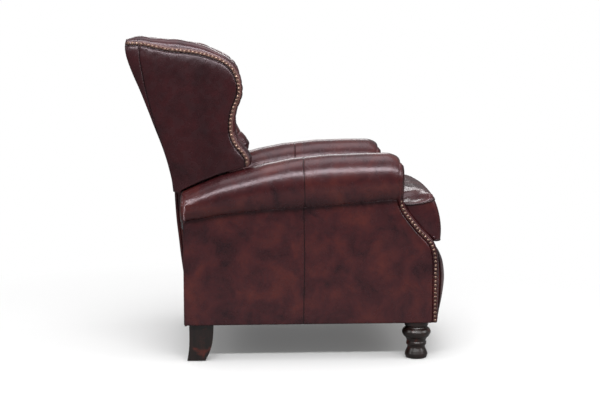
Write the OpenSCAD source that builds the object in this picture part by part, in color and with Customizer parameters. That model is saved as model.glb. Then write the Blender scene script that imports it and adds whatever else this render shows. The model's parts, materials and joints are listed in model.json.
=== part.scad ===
// Wingback recliner with rolled arms, a reclining back and a scissor footrest
// Millimetres. +Z up, the sitter faces -Y, the sitter's left is +X, the floor is z = 0.

/* [Base] */
// Height of the legs under the base
leg_h = 123; // [100:1:150]
// Height of the side panels from the base to the front of the arm roll
side_h = 406; // [380:1:430]
// Distance of the base's front edge ahead of the origin
base_front = 464; // [455:1:480]
// Distance of the base's rear edge behind the origin
base_rear = 337; // [330:1:345]
// Half the space between the inner faces of the arms
seat_half_w = 246.5; // [230:0.5:270]
// Thickness of the padded leather on the inner side of an arm
inner_pad_t = 5; // [4:0.5:7]
// Thickness of the inner arm panels
inner_panel_t = 16; // [12:1:20]
// Space between the inner arm panel and the side panel
arm_box_w = 67; // [60:1:80]
// Thickness of the side panels
side_panel_t = 18; // [15:1:21]
// Thickness of the leather covers on the sides
side_cover_t = 6; // [4:0.5:9]
// Thickness of the nailed arm fronts
facing_t = 17; // [14:1:20]

/* [Arms] */
// Length of the arm rolls
arm_len = 697; // [685:1:700]
// Width of the arm rolls
roll_w = 145; // [135:1:150]
// Height of the roll at its front, above the side panel
roll_h = 151; // [140:1:165]
// Fall of the top of the roll from front to rear
roll_drop = 124; // [110:1:135]
// Fall of the underside of the roll from front to rear
under_drop = 67; // [50:1:75]

/* [Back] */
// Height of the back from its lower edge to its top
back_h = 773; // [740:1:800]
// Distance that the back leans rearward from its lower edge to its top
back_run = 176; // [160:1:190]
// Thickness of the outside back
outside_t = 10; // [8:0.5:14]
// Depth of the back's wooden frame
back_frame_t = 38; // [32:1:44]
// Largest recline of the back, in degrees
recline_max = 30; // [10:1:30]
// Depth of the wings from front to rear
wing_depth = 395; // [380:1:405]
// Height of the wings' shaped edge
wing_h = 481; // [460:1:490]
// Angle by which the wings flare outward, in degrees
wing_flare = 2.4; // [0:0.1:3]
// Number of tuft columns in a wide row
tuft_cols = 5; // [3:2:5]

/* [Seat] */
// Height of the seat deck's top above the base
deck_rise = 264; // [255:1:275]
// Height of the cushion's boxed edge
cushion_edge_h = 145; // [125:1:150]
// Height of the cushion's crown above its edge
cushion_crown = 42; // [20:1:50]
// Half the width of the cushion across its front ears
ear_half_w = 325; // [300:1:335]
// Distance that the seat slides forward while the back reclines
seat_travel = 45; // [30:1:50]
// Slope of the seat tracks, in degrees
track_slope = 8; // [4:1:10]

/* [Footrest] */
// Height of the footrest panel
footrest_h = 252; // [235:1:256]
// Thickness of the footrest board
board_t = 15; // [12:1:18]
// Thickness of the footrest pad at its fullest
pad_t = 52; // [40:1:58]
// Length of the long scissor links between their end pivots
link_len = 230; // [215:1:232]
// Width of the scissor links
link_w = 18; // [14:1:20]
// Thickness of the steel links
link_t = 3; // [2:0.5:3]

/* [Legs] */
// Diameter of the top of the front legs
leg_d = 79; // [66:1:84]
// Width of the rear legs
rear_leg_w = 46; // [38:1:54]
// Thickness of the glides under the legs
glide_t = 2.5; // [2:0.5:4]

/* [Nails] */
// Diameter of the nail heads
nail_d = 10; // [8:0.5:11]
// Spacing of the nails along an edge
nail_pitch = 12.8; // [12:0.1:16]

/* [Hidden] */

RIGHT = -1;
LEFT = 1;
round_fn = 48;
nail_fn = 16;

// Clearances
lay_gap = 0.2;      // between pieces laid on each other
soft_gap = 1;       // between upholstery and what moves past it
bore_gap = 0.05;    // on the radius of a pivot
slot_gap = 0.5;     // beside a pin in a slot
over = 1;           // overrun of a cut

// Side to side, from the middle outward
pad_in_x = seat_half_w;
inner_x = pad_in_x + inner_pad_t;
inner_out_x = inner_x + inner_panel_t;
panel_x = inner_out_x + arm_box_w;
cover_x = panel_x + side_panel_t;
side_out_x = cover_x + side_cover_t;
roll_set_in = 3.5;
roll_x = seat_half_w - roll_set_in + roll_w / 2;

// Seat hardware, from the arms inward
track_w = 9;
track_wall = 2.5;
plate_gap = 1.5;
plate_t = 3;
track_x = inner_x - track_w;
plate_out_x = track_x - plate_gap;
plate_in_x = plate_out_x - plate_t;
link_gap = 1;
link_step = link_t + link_gap;
stile_gap = 16;
stile_out_x = plate_in_x - stile_gap;
stile_w = 22;

// Heights and depths of the seat
deck_z = leg_h + deck_rise;
deck_t = 5;
rail_h = 40;
rail_z = deck_z - deck_t - rail_h - lay_gap;
under_front_z = leg_h + side_h;
arm_top_z = under_front_z + roll_h;

// Pivot of the back
pivot_rise = 48;
pivot_z = deck_z + pivot_rise;
pivot_set_in = 2;
pivot_y = base_rear - pivot_set_in;
pivot_r = 6;

// Lower edge of the back, and the depth of its frame behind the inner back
back_low_drop = 167;
back_low_z = pivot_z - back_low_drop;
back_low_set_out = 14;
back_low_y = base_rear + back_low_set_out;
frame_face = outside_t + lay_gap;
frame_front = outside_t + back_frame_t;

// Curve helpers
function spline_pt(a, b, c, d, t) =
    (2 * b + (c - a) * t + (2 * a - 5 * b + 4 * c - d) * t * t + (3 * b - a - 3 * c + d) * t * t * t) / 2;
function curve(p, n) = let (m = len(p) - 1) concat(
    [for (i = [0:m - 1]) for (k = [0:n - 1])
        spline_pt(p[max(i - 1, 0)], p[i], p[i + 1], p[min(i + 2, m)], k / n)],
    [p[m]]);
function curve_at(p, t) =
    let (m = len(p) - 1, i = min(floor(t * m), m - 1))
    spline_pt(p[max(i - 1, 0)], p[i], p[i + 1], p[min(i + 2, m)], t * m - i);
function backward(p) = [for (i = [len(p) - 1:-1:0]) p[i]];
function unit(v) = v / norm(v);
function side_of(p, i) =
    let (v = unit(p[min(i + 1, len(p) - 1)] - p[max(i - 1, 0)])) [-v[1], v[0]];
function shifted(p, d) = [for (i = [0:len(p) - 1]) p[i] + d * side_of(p, i)];
function band(p, d0, d1) = concat(shifted(p, d0), backward(shifted(p, d1)));
function run_at(p, i) = i == 0 ? 0 : run_at(p, i - 1) + norm(p[i] - p[i - 1]);
function along(p, s) =
    let (runs = [for (i = [0:len(p) - 1]) run_at(p, i)])
    [lookup(s, [for (i = [0:len(p) - 1]) [runs[i], p[i][0]]]),
     lookup(s, [for (i = [0:len(p) - 1]) [runs[i], p[i][1]]])];
function spaced(p, pitch, inset) =
    let (total = run_at(p, len(p) - 1) - 2 * inset, n = floor(total / pitch))
    [for (k = [0:n]) along(p, inset + k * total / n)];

// Extrusions of outlines drawn in (Y, Z) and in (X, Z), and in (X, Y)
module yz_slab(x0, x1) translate([x0, 0, 0]) rotate([90, 0, 90]) linear_extrude(x1 - x0) children();
module xz_slab(y0, y1) translate([0, y1, 0]) rotate([90, 0, 0]) linear_extrude(y1 - y0) children();
module block(x, y, z) translate([x[0], y[0], z[0]]) cube([x[1] - x[0], y[1] - y[0], z[1] - z[0]]);
module sided(side) { if (side < 0) mirror([1, 0, 0]) children(); else children(); }
module both() { children(); mirror([1, 0, 0]) children(); }
module x_rod(x0, x1, y, z, r) translate([x0, y, z]) rotate([0, 90, 0])
    cylinder(h = x1 - x0, r = r, $fn = round_fn);

// Closed skin through rings of equal point counts, each end closed about its middle
function mean(ring) = [for (k = [0:2]) [for (p = ring) p[k]] * [for (p = ring) 1 / len(ring)]];
module loft(rings) {
    m = len(rings);
    n = len(rings[0]);
    points = concat([for (r = rings) for (p = r) p], [mean(rings[0]), mean(rings[m - 1])]);
    walls = [for (j = [0:m - 2]) for (i = [0:n - 1]) let (a = j * n + i, b = j * n + (i + 1) % n)
        each [[a, a + n, b + n], [a, b + n, b]]];
    first = [for (i = [0:n - 1]) [m * n, i, (i + 1) % n]];
    last = [for (i = [0:n - 1]) [m * n + 1, (m - 1) * n + (i + 1) % n, (m - 1) * n + i]];
    polyhedron(points = points, faces = concat(walls, first, last), convexity = 6);
}

// Closed skin through rings that lie in parallel planes, each end closed by one flat face
module flat_loft(rings) {
    m = len(rings);
    n = len(rings[0]);
    walls = [for (j = [0:m - 2]) for (i = [0:n - 1]) let (a = j * n + i, b = j * n + (i + 1) % n)
        each [[a, a + n, b + n], [a, b + n, b]]];
    polyhedron(points = [for (r = rings) for (p = r) p],
        faces = concat(walls, [[for (i = [0:n - 1]) i], [for (i = [n - 1:-1:0]) (m - 1) * n + i]]),
        convexity = 6);
}

// Closed skin between a front and a rear sheet, each rows of points
module pillow(front, rear) {
    m = len(front);
    n = len(front[0]);
    s = m * n;
    points = concat([for (r = front) for (p = r) p], [for (r = rear) for (p = r) p]);
    faces = concat(
        [for (j = [0:m - 2]) for (i = [0:n - 2]) let (a = j * n + i)
            each [[a, a + n, a + n + 1], [a, a + n + 1, a + 1]]],
        [for (j = [0:m - 2]) for (i = [0:n - 2]) let (a = s + j * n + i)
            each [[a, a + n + 1, a + n], [a, a + 1, a + n + 1]]],
        [for (i = [0:n - 2]) each [[i, i + 1, s + i + 1], [i, s + i + 1, s + i]]],
        [for (i = [0:n - 2]) let (a = (m - 1) * n + i)
            each [[a, s + a + 1, a + 1], [a, s + a, s + a + 1]]],
        [for (j = [0:m - 2]) let (a = j * n) each [[a, s + a, s + a + n], [a, s + a + n, a + n]]],
        [for (j = [0:m - 2]) let (a = j * n + n - 1) each [[a, a + n, s + a + n], [a, s + a + n, s + a]]]);
    polyhedron(points = points, faces = faces, convexity = 8);
}

// Front edge of the base, from under the scroll down to the floor side, as (Y, Z)
bend_run = 118;
bend_rise = 213;
bend_shares = [[0, 1], [0.03, 0.92], [0.1, 0.83], [0.23, 0.72], [0.39, 0.61], [0.55, 0.5],
    [0.71, 0.41], [0.84, 0.335], [0.93, 0.25], [0.98, 0.13], [1, 0]];
scroll_y = -(base_front - bend_run);
bend_low_z = under_front_z - bend_rise;
bend_pts = [for (s = bend_shares) [scroll_y - s[0] * bend_run, bend_low_z + s[1] * bend_rise]];
bend_line = concat(curve(bend_pts, 2), [[-base_front, leg_h]]);
scroll_top_drop = 14;
front_line = concat([[scroll_y, arm_top_z - scroll_top_drop]], bend_line);

// Arm roll: share of its length, share of the fall of its top, share of the fall of its underside
roll_shares = [[0, 0, 0], [0.15, 0, 0.13], [0.32, 0.03, 0.27], [0.49, 0.13, 0.38], [0.62, 0.27, 0.47],
    [0.72, 0.42, 0.57], [0.82, 0.565, 0.69], [0.92, 0.79, 0.88], [1, 1, 1]];
roll_steps = len(roll_shares) - 1;
roll_y0 = scroll_y + lay_gap;
roll_rear_in = 4.5;
roll_tops = [for (s = roll_shares) [roll_y0 + s[0] * arm_len, arm_top_z - s[1] * roll_drop]];
roll_unders = [for (s = roll_shares) [roll_y0 + s[0] * arm_len, under_front_z - s[2] * under_drop]];
function arm_top(y) = lookup(y, roll_tops);
function arm_under(y) = lookup(y, roll_unders);
function roll_half(s) = roll_w / 2 - roll_rear_in * s;
function roll_b(top, under, a) =
    (top - under) / (1 + sqrt(1 - pow(min((side_out_x - roll_x) / a, 0.95), 2)));
roll_n = 32;
function roll_ring(k, grow) =
    let (s = roll_shares[k][0], a = roll_half(s), top = roll_tops[k][1],
         b = roll_b(top, roll_unders[k][1], a), z = top - b)
    [for (i = [0:roll_n - 1]) let (w = i * 360 / roll_n)
        [roll_x + (a - grow) * cos(w), roll_tops[k][0], z + (b - grow) * sin(w)]];

module side_panel(side) color("burlywood") sided(side) yz_slab(panel_x, cover_x - lay_gap)
    polygon(concat(shifted(bend_line, lay_gap), [[base_rear, leg_h]], panel_top(lay_gap + over)));

// Points along the underside of the roll ahead of y, from the rear forward, raised by rise
function under_roll(y, rise) = [for (k = [roll_steps - 1:-1:1]) if (roll_unders[k][0] < y)
    [roll_unders[k][0], roll_unders[k][1] + rise]];
function panel_top(drop) = concat([[base_rear, arm_under(base_rear) - drop]], under_roll(base_rear, -drop));

module side_cover(side) color("#4d2628") sided(side) yz_slab(cover_x, side_out_x)
    polygon(concat(shifted(bend_line, lay_gap), [[cover_rear, leg_h], [cover_rear, arm_under(cover_rear)]],
        panel_top(lay_gap)));

module inner_arm_panel(side) color("burlywood") sided(side)
    yz_slab(inner_x + lay_gap, inner_out_x - lay_gap) polygon(concat(
        shifted(bend_line_upper, inner_front_in), [[-inner_front_y, leg_h], [inner_rear_y, leg_h]],
        [[inner_rear_y, arm_under(inner_rear_y) - inner_top_in]], under_roll(inner_rear_y, -inner_top_in)));
rail_t = 20;
inner_rear_y = base_rear - rail_t - lay_gap;
inner_front_in = 1;
inner_top_in = 10;
inner_front_y = 445;
bend_line_upper = [for (p = bend_line) if (p[0] > -inner_front_y) p];

module inner_arm_pad(side) color("#54292b") sided(side) yz_slab(pad_in_x, inner_x)
    polygon(concat(shifted(bend_line_pad, inner_front_in), [[arm_pad_rear, pad_low_z]],
        [[arm_pad_rear, arm_under(arm_pad_rear) + pad_top_up]], under_roll(arm_pad_rear, pad_top_up)));
pad_below_deck = 9;
pad_low_z = deck_z - pad_below_deck;
pad_rear_in = 1;
arm_pad_rear = base_rear - pad_rear_in;
pad_top_up = 22;
bend_line_pad = [for (p = bend_line_upper) if (p[1] > pad_low_z) p];

module arm_roll(side) color("#4a2426") sided(side) difference() {
    loft(backward(roll_rings));
    yz_slab(panel_x - lay_gap, side_out_x + lay_gap)
        polygon(concat(
            [[roll_y0 - over, under_front_z + lay_gap], [roll_y0 - over, leg_h]],
            [[cover_rear + over, leg_h], [cover_rear + over, arm_under(cover_rear) + lay_gap]],
            under_roll(cover_rear, lay_gap)));
    yz_slab(pad_in_x - over, inner_x + lay_gap)
        polygon([[roll_y0 - over, leg_h], [base_rear, leg_h],
            [base_rear, arm_under(base_rear) + pad_top_up + lay_gap],
            each under_roll(base_rear, pad_top_up + lay_gap),
            [roll_y0 - over, under_front_z + pad_top_up]]);
}
roll_end_r = 8;
roll_end = [for (p = roll_ring(roll_steps, roll_end_r)) p + [0, roll_end_r / 2, 0]];
roll_rings = concat([for (k = [0:roll_steps]) roll_ring(k, 0)], [roll_end]);

// Arm front: a leather band that follows the front edge, cut to the scroll and the post below it
scroll_b = roll_b(arm_top_z, under_front_z, roll_w / 2);
scroll_z = arm_top_z - scroll_b;
post_in_x = 284;
post_bend_z = 430;
post_top_share = 0.86;
post_top_in_x = roll_x - roll_w / 2 * post_top_share;
scroll_n = 64;
facing_pts = [for (i = [0:scroll_n - 1]) let (w = i * 360 / scroll_n)
    [roll_x + roll_w / 2 * cos(w), scroll_z + scroll_b * sin(w)]];
facing_inner = curve([[post_top_in_x, scroll_z - scroll_b / 2],
    [(post_top_in_x + post_in_x) / 2, (under_front_z + post_bend_z) / 2], [post_in_x, post_bend_z],
    [post_in_x, leg_h + side_h / 2], [post_in_x, leg_h]], 4);
module arm_front(side) color("#4a2426") sided(side) intersection() {
    yz_slab(pad_in_x - over * 5, roll_x + roll_w / 2 + over) polygon(band(front_line, -facing_t, 0));
    xz_slab(-base_front - facing_t * 2, 0) union() {
        polygon(facing_pts);
        polygon(concat(facing_inner, [[side_out_x, leg_h], [side_out_x, scroll_z]]));
    }
}

// Nail heads, with their flat backs on z = 0
nail_h = 3.4;
nail_shares = [[0, 0], [1, 0], [0.8, 0.65], [0, 1]];
module nail() rotate_extrude($fn = nail_fn)
    polygon([for (s = nail_shares) [s[0] * nail_d / 2, s[1] * nail_h]]);
nail_row_in = 8.5;
nail_end_in = 8;
arm_nail_row = spaced(shifted(bend_line, -nail_row_in), nail_pitch, nail_end_in);
module arm_nails() color("#6b5436") both() for (p = arm_nail_row)
    translate([side_out_x + lay_gap / 2, p[0], p[1]]) rotate([0, 90, 0]) nail();

// Corner blocks, plan outlines for the front ones
block_front_out = 5;
block_front_y = -inner_front_y - block_front_out;
block_rear_y = -385;
block_h = 190;
rear_block_y = 260;
rear_block_h = 77;
bolt_r = 4;
bolt_grip = 42;
front_leg_y = -417;
front_leg_x = 320;
rear_leg_y = 291;
rear_leg_x = 316;
module bolt_bore(x, y, z) translate([x, y, z])
    cylinder(h = bolt_grip + over, r = bolt_r + bore_gap, $fn = round_fn);
module corner_blocks() color("tan") both() difference() {
    union() {
        translate([0, 0, leg_h]) linear_extrude(block_h) polygon([
            [inner_out_x, block_rear_y], [panel_x - lay_gap, block_rear_y],
            [panel_x - lay_gap, -base_front + lay_gap], [post_in_x + 2 * over, -base_front + lay_gap],
            [post_in_x + 2 * over, block_front_y], [inner_out_x, block_front_y]]);
        block([inner_out_x, panel_x - lay_gap], [rear_block_y, inner_rear_y],
            [leg_h, leg_h + rear_block_h]);
    }
    bolt_bore(front_leg_x, front_leg_y, leg_h - over);
    bolt_bore(rear_leg_x, rear_leg_y, leg_h - over);
}

rear_rail_h = 127;
module rear_rail() color("burlywood") block(
    [-panel_x + lay_gap, panel_x - lay_gap], [base_rear - rail_t, base_rear], [leg_h, leg_h + rear_rail_h]);

rear_cover_t = 10;
cover_rear = base_rear + rear_cover_t;
rear_cover_down = 3;
rear_cover_up = 5;
module rear_cover() color("#4d2628")
    block([-cover_x + lay_gap, cover_x - lay_gap], [base_rear + lay_gap, cover_rear],
        [leg_h - rear_cover_down, leg_h + rear_rail_h + rear_cover_up]);
back_cover_down = 18;
module arm_back_covers() color("#4d2628") both()
    block([inner_x + lay_gap, cover_x - lay_gap], [base_rear + lay_gap, cover_rear],
        [leg_h + rear_rail_h + rear_cover_up + lay_gap, arm_under(cover_rear) - back_cover_down]);

stretcher_y = -340;
stretcher_t = 22;
stretcher_h = 44;
module front_stretcher() color("burlywood")
    block([-inner_x, inner_x], [stretcher_y, stretcher_y + stretcher_t], [leg_h, leg_h + stretcher_h]);

// Legs
leg_body_h = leg_h - lay_gap;
front_leg_shares = [[0, 1], [0.985, 1], [1, 0.95], [0.98, 0.9], [0.9, 0.86], [0.95, 0.835],
    [1.12, 0.79], [1.2, 0.735], [1.18, 0.67], [1.06, 0.6], [0.88, 0.54], [0.8, 0.48], [0.79, 0.45],
    [0.84, 0.425], [0.84, 0.37], [0.78, 0.345], [0.73, 0.31], [0.75, 0.27], [0.86, 0.19], [0.94, 0.12],
    [0.95, 0.07], [0.9, 0.03], [0.86, 0], [0, 0]];
module front_leg(side) color("#2a1a16") sided(side) difference() {
    translate([front_leg_x, front_leg_y, glide_t]) rotate_extrude($fn = round_fn)
        polygon([for (s = front_leg_shares) [s[0] * leg_d / 2, s[1] * (leg_body_h - glide_t)]]);
    bolt_bore(front_leg_x, front_leg_y, leg_h - bolt_grip);
}

sabre_top_d = 79;
sabre_foot_d = 59;
sabre_kick = 27;
sabre_y = 252;
sabre_shares = [[0, 1], [0.07, 0.62], [0.36, 0.3], [1, 0]];
sabre_front = curve([for (s = sabre_shares)
    [sabre_y + s[0] * sabre_kick, glide_t + s[1] * (leg_body_h - glide_t)]], 3);
sabre_rear_shares = [[0, 1], [-0.02, 0.62], [0.2, 0.3], [1, 0]];
sabre_rear = curve([for (s = sabre_rear_shares)
    [sabre_y + sabre_top_d + s[0] * (sabre_kick + sabre_foot_d - sabre_top_d),
        glide_t + s[1] * (leg_body_h - glide_t)]], 3);
module rear_leg(side) color("#2a1a16") sided(side) difference() {
    yz_slab(rear_leg_x - rear_leg_w / 2, rear_leg_x + rear_leg_w / 2)
        polygon(concat(sabre_front, backward(sabre_rear)));
    bolt_bore(rear_leg_x, rear_leg_y, leg_h - bolt_grip);
}
bolt_end_gap = 2;
module leg_bolts() color("silver") both() {
    translate([front_leg_x, front_leg_y, leg_h - bolt_grip + bolt_end_gap])
        cylinder(h = 2 * (bolt_grip - bolt_end_gap), r = bolt_r, $fn = round_fn);
    translate([rear_leg_x, rear_leg_y, leg_h - bolt_grip + bolt_end_gap])
        cylinder(h = 2 * (bolt_grip - bolt_end_gap), r = bolt_r, $fn = round_fn);
}
glide_r = 14;
sabre_foot_y = sabre_y + sabre_kick + sabre_foot_d / 2;
module glide() rotate_extrude($fn = round_fn)
    polygon([[0, 0], [glide_r - glide_t / 2, 0], [glide_r, glide_t / 2], [glide_r, glide_t], [0, glide_t]]);
module leg_glides() color("dimgray") both() {
    translate([front_leg_x, front_leg_y, 0]) glide();
    translate([rear_leg_x, sabre_foot_y, 0]) glide();
}

// Seat tracks, blocks and plates. The track's own frame slopes up toward the front.
track_rise = 199;
track_z = leg_h + track_rise;
track_h = 21;
block_len = 40;
block_at = 90;
track_end = 8;
track_rear = block_at + block_len / 2 + track_end;
track_front = -block_at - block_len / 2 - seat_travel - track_end;
module on_track() translate([0, 0, track_z]) rotate([-track_slope, 0, 0]) children();
module seat_tracks() color("gray") both() on_track() difference() {
    block([track_x, inner_x], [track_front, track_rear], [-track_h / 2, track_h / 2]);
    block([track_x - over, inner_x - track_wall], [track_front - over, track_rear + over],
        [-track_h / 2 + track_wall, track_h / 2 - track_wall]);
}
module slide_blocks() color("ivory") both() on_track() for (y = [-block_at, block_at])
    block([plate_out_x, inner_x - track_wall - 2 * bore_gap], [y - block_len / 2, y + block_len / 2],
        [-track_h / 2 + track_wall + bore_gap, track_h / 2 - track_wall - bore_gap]);

// Scissor linkage. open_share runs from 0, stowed, to 1, open.
half_link = link_len / 2;
link_stowed = 85;
link_open = 15.8;
link_swing = link_stowed - link_open;
rise_stowed = 5;
rise_rate = 0.3;
link_y = -400;
link_drop = 12;
link_z = leg_h + link_drop;
function link_theta(u) = link_stowed - link_swing * u;
function link_rise(u) = rise_stowed + rise_rate * link_swing * u;
// A point e along and n above the reach line, as (Y, Z)
function reach(u, e, n) = let (f = link_rise(u))
    [link_y - e * cos(f) + n * sin(f), link_z + e * sin(f) + n * cos(f)];
function link_end(u) = reach(u, 0, link_len * sin(link_theta(u)));
pin_a = reach(0, link_len * cos(link_stowed), link_len * sin(link_stowed));
pin_b = reach(0, link_len * cos(link_stowed), 0);
pin_c = reach(0, half_link * cos(link_stowed), half_link * sin(link_stowed));
pin_d = reach(0, 3 * half_link * cos(link_stowed), half_link * sin(link_stowed));
pin_f = reach(0, 2 * link_len * cos(link_stowed), 0);
pin_e = link_end(0);
pin_o = [link_y, link_z];
pin_r = 4;
root_pin_r = 5;
head_r = 6.5;
head_t = 0.6;
slot_steps = 16;
slot_line = [for (k = [0:slot_steps]) link_end(k / slot_steps)];
slot_half = pin_r + slot_gap;

// Bars of the four link layers, from the seat plate inward
function layer_out(k) = plate_in_x - link_gap - k * link_step;
function layer_in(k) = layer_out(k) - link_t;
module bar_2d(p, q) {
    n = side_of([p, q], 0) * link_w / 2;
    polygon([p + n, q + n, q - n, p - n]);
    translate(p) circle(r = link_w / 2, $fn = round_fn);
    translate(q) circle(r = link_w / 2, $fn = round_fn);
}
module hole_2d(p, r) translate(p) circle(r = r, $fn = round_fn);
module pin(k0, k1, p) {
    x_rod(layer_in(k1) - 2 * bore_gap, layer_out(k0), p[0], p[1], pin_r);
    x_rod(layer_in(k1) - 2 * bore_gap - head_t, layer_in(k1) - 2 * bore_gap, p[0], p[1], head_r);
}

module lift_links() color("dimgray") both() {
    yz_slab(layer_in(0), layer_out(0)) difference() {
        bar_2d(pin_o, pin_a);
        hole_2d(pin_o, root_pin_r + bore_gap);
    }
    pin(0, 1, pin_c);
    pin(0, 2, pin_a);
}
module cross_links() color("gray") both() {
    yz_slab(layer_in(1), layer_out(1)) difference() {
        bar_2d(pin_e, pin_b);
        hole_2d(pin_c, pin_r + bore_gap);
    }
    pin(1, 3, pin_b);
    x_rod(layer_in(1), plate_out_x, pin_e[0], pin_e[1], pin_r);
}
module short_links() color("gray") both() yz_slab(layer_in(3), layer_out(3)) difference() {
    bar_2d(pin_b, pin_d);
    hole_2d(pin_b, pin_r + bore_gap);
    hole_2d(pin_d, pin_r + slot_gap);
}
board_gap = 1;
board_set_in = 4;
board_rear_y = -(base_front - board_set_in);
board_drop = 22;
board_top_z = deck_z - board_drop;
board_low_z = board_top_z - footrest_h;
flange_t = 3;
flange_w = 22;
flange_up = 50;
module footrest_links() color("dimgray") both() {
    yz_slab(layer_in(2), layer_out(2)) difference() {
        union() {
            bar_2d(pin_a, pin_f);
            polygon([pin_d, pin_f, [board_rear_y, pin_f[1]], [board_rear_y, pin_d[1] + flange_up],
                [pin_d[0], pin_d[1] + flange_up / 2]]);
        }
        hole_2d(pin_a, pin_r + bore_gap);
    }
    pin(2, 3, pin_d);
    block([layer_in(2) - flange_w, layer_in(2) + over], [board_rear_y, board_rear_y + flange_t],
        [pin_f[1], pin_d[1] + flange_up]);
}
board_side_gap = 12;
board_half_w = post_in_x - board_side_gap;
board_inset = 5;
module footrest_board() color("burlywood") block([-board_half_w, board_half_w],
    [board_rear_y - board_t, board_rear_y], [board_low_z + board_inset, board_top_z - board_inset]);

// Footrest pad: share of its thickness at shares of its height
foot_shares = [[0.3, 0], [0.5, 0.04], [0.68, 0.12], [0.84, 0.26], [0.95, 0.4], [1, 0.53], [0.97, 0.66],
    [0.86, 0.78], [0.67, 0.88], [0.42, 0.96], [0.16, 1]];
foot_side_gap = 4;
foot_half_w = post_in_x - foot_side_gap;
foot_n = 18;
foot_rows = 18;
foot_side_in = 0.55;
draw_in_share = 0.012;
foot_face_y = board_rear_y - board_t - lay_gap;
foot_front = [for (j = [0:foot_rows]) [for (i = [0:foot_n])
    let (u = 2 * i / foot_n - 1, s = curve_at(foot_shares, j / foot_rows),
         pull = 1 - foot_side_in * pow(abs(u), 5), draw = 1 - draw_in_share * sin(180 * j / foot_rows))
    [u * foot_half_w * draw, foot_face_y - pad_t * s[0] * pull, board_low_z + s[1] * footrest_h]]];
foot_rear = [for (j = [0:foot_rows]) [for (i = [0:foot_n])
    [foot_front[j][i][0], foot_face_y, foot_front[j][i][2]]]];
module footrest_pad() color("#552a2c") pillow(foot_front, foot_rear);

// Steel plates that carry the seat, the back pivot and the scissor links
plate_drop = 38;
plate_low_z = rail_z - plate_drop;
plate_rear_in = 100;
plate_rear_y = base_rear - plate_rear_in;
plate_front_in = 50;
plate_front_y = link_y + plate_front_in;
lug_r = 22;
foot_lug_r = 16;
lug_lean = 0.8;
module plate_slab(grow = 0) yz_slab(plate_in_x - grow, plate_out_x + grow) children();
module plate_bore(p, r) x_rod(plate_in_x - over, plate_out_x + over, p[0], p[1], r);
module seat_plate(side) color("slategray") sided(side) difference() {
    union() {
        plate_slab() polygon([[plate_rear_y, plate_low_z], [plate_rear_y, rail_z + rail_h],
            [plate_front_y, rail_z + rail_h], [plate_front_y, plate_low_z]]);
        plate_slab() polygon([[plate_rear_y - lug_r, plate_low_z],
            [pivot_y + lug_r * lug_lean, pivot_z - lug_r * (1 - lug_lean) * 3],
            [pivot_y - lug_r * lug_lean, pivot_z + lug_r * (1 - lug_lean) * 3],
            [plate_rear_y - lug_r * 4, rail_z + rail_h]]);
        x_rod(plate_in_x, plate_out_x, pivot_y, pivot_z, lug_r);
        plate_slab() polygon([[plate_front_y + over, rail_z + rail_h], [plate_front_y + over, plate_low_z],
            [link_y + foot_lug_r * 2, link_z], [link_y, link_z - foot_lug_r], [link_y - foot_lug_r, link_z],
            [link_y - foot_lug_r, plate_low_z], [pin_e[0] - foot_lug_r * 1.2, rail_z + rail_h]]);
        x_rod(plate_in_x, plate_out_x, link_y, link_z, foot_lug_r);
    }
    plate_slab(over) polygon(band(slot_line, slot_half, -slot_half));
    plate_bore(slot_line[0], slot_half);
    plate_bore(slot_line[slot_steps], slot_half);
    plate_bore([pivot_y, pivot_z], pivot_r);
    plate_bore([link_y, link_z], root_pin_r);
}

pin_head = 3;
module back_pivot_pins() color("silver") both() {
    x_rod(stile_out_x + lay_gap, plate_out_x + pin_head, pivot_y, pivot_z, pivot_r - bore_gap / 5);
    x_rod(stile_out_x + bracket_t + 2 * lay_gap, plate_in_x - bore_gap, pivot_y, pivot_z,
        pivot_r + pin_head);
    x_rod(plate_out_x + bore_gap, plate_out_x + pin_head, pivot_y, pivot_z, pivot_r + pin_head);
}
module link_pivot_pins() color("silver") both() {
    x_rod(layer_in(0) - 2 * bore_gap, plate_out_x + head_t, link_y, link_z, root_pin_r - bore_gap / 5);
    x_rod(layer_in(0) - 2 * bore_gap - head_t, layer_in(0) - 2 * bore_gap, link_y, link_z, head_r);
    x_rod(plate_out_x + bore_gap, plate_out_x + head_t + bore_gap, link_y, link_z, head_r);
}

// Seat frame
link_side_gap = 4;
narrow_x = layer_in(3) - link_side_gap;
side_rail_w = 18;
rail_in_x = narrow_x - side_rail_w;
swing_gap = 9;
seat_rear_y = pivot_y - (pivot_y - back_low_y + frame_front) * cos(recline_max)
    - back_low_drop * sin(recline_max) - swing_gap;
front_rail_in = 14;
front_rail_y = -(base_front - front_rail_in);
front_rail_t = 25;
rail_front_y = front_rail_y + front_rail_t;
rail_step_y = plate_front_y + foot_lug_r / 2;
module seat_side_rails() color("burlywood") both()
    translate([0, 0, rail_z]) linear_extrude(rail_h) polygon([
    [rail_in_x, seat_rear_y], [plate_in_x - lay_gap, seat_rear_y], [plate_in_x - lay_gap, rail_step_y],
    [narrow_x, rail_step_y], [narrow_x, rail_front_y + lay_gap], [rail_in_x, rail_front_y + lay_gap]]);
module seat_front_rail() color("burlywood")
    block([-narrow_x, narrow_x], [front_rail_y, rail_front_y], [rail_z, rail_z + rail_h]);
rear_rail_w = 35;
rear_rail_y = seat_rear_y - rear_rail_w;
module seat_rear_rail() color("burlywood")
    block([-rail_in_x + lay_gap, rail_in_x - lay_gap], [rear_rail_y, seat_rear_y],
        [rail_z, rail_z + rail_h]);
spring_n = 4;
spring_w = 44;
spring_turns = 14;
wire_d = 4;
spring_end_gap = 1.1;
spring_y0 = rail_front_y + spring_end_gap;
spring_y1 = rear_rail_y - spring_end_gap;
function zig(k) = k == 0 || k == spring_turns ? 0 : (k % 2 == 0 ? -1 : 1);
function zigzag(x) = [for (k = [0:spring_turns])
    [x + zig(k) * spring_w / 2, spring_y0 + k * (spring_y1 - spring_y0) / spring_turns]];
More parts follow.
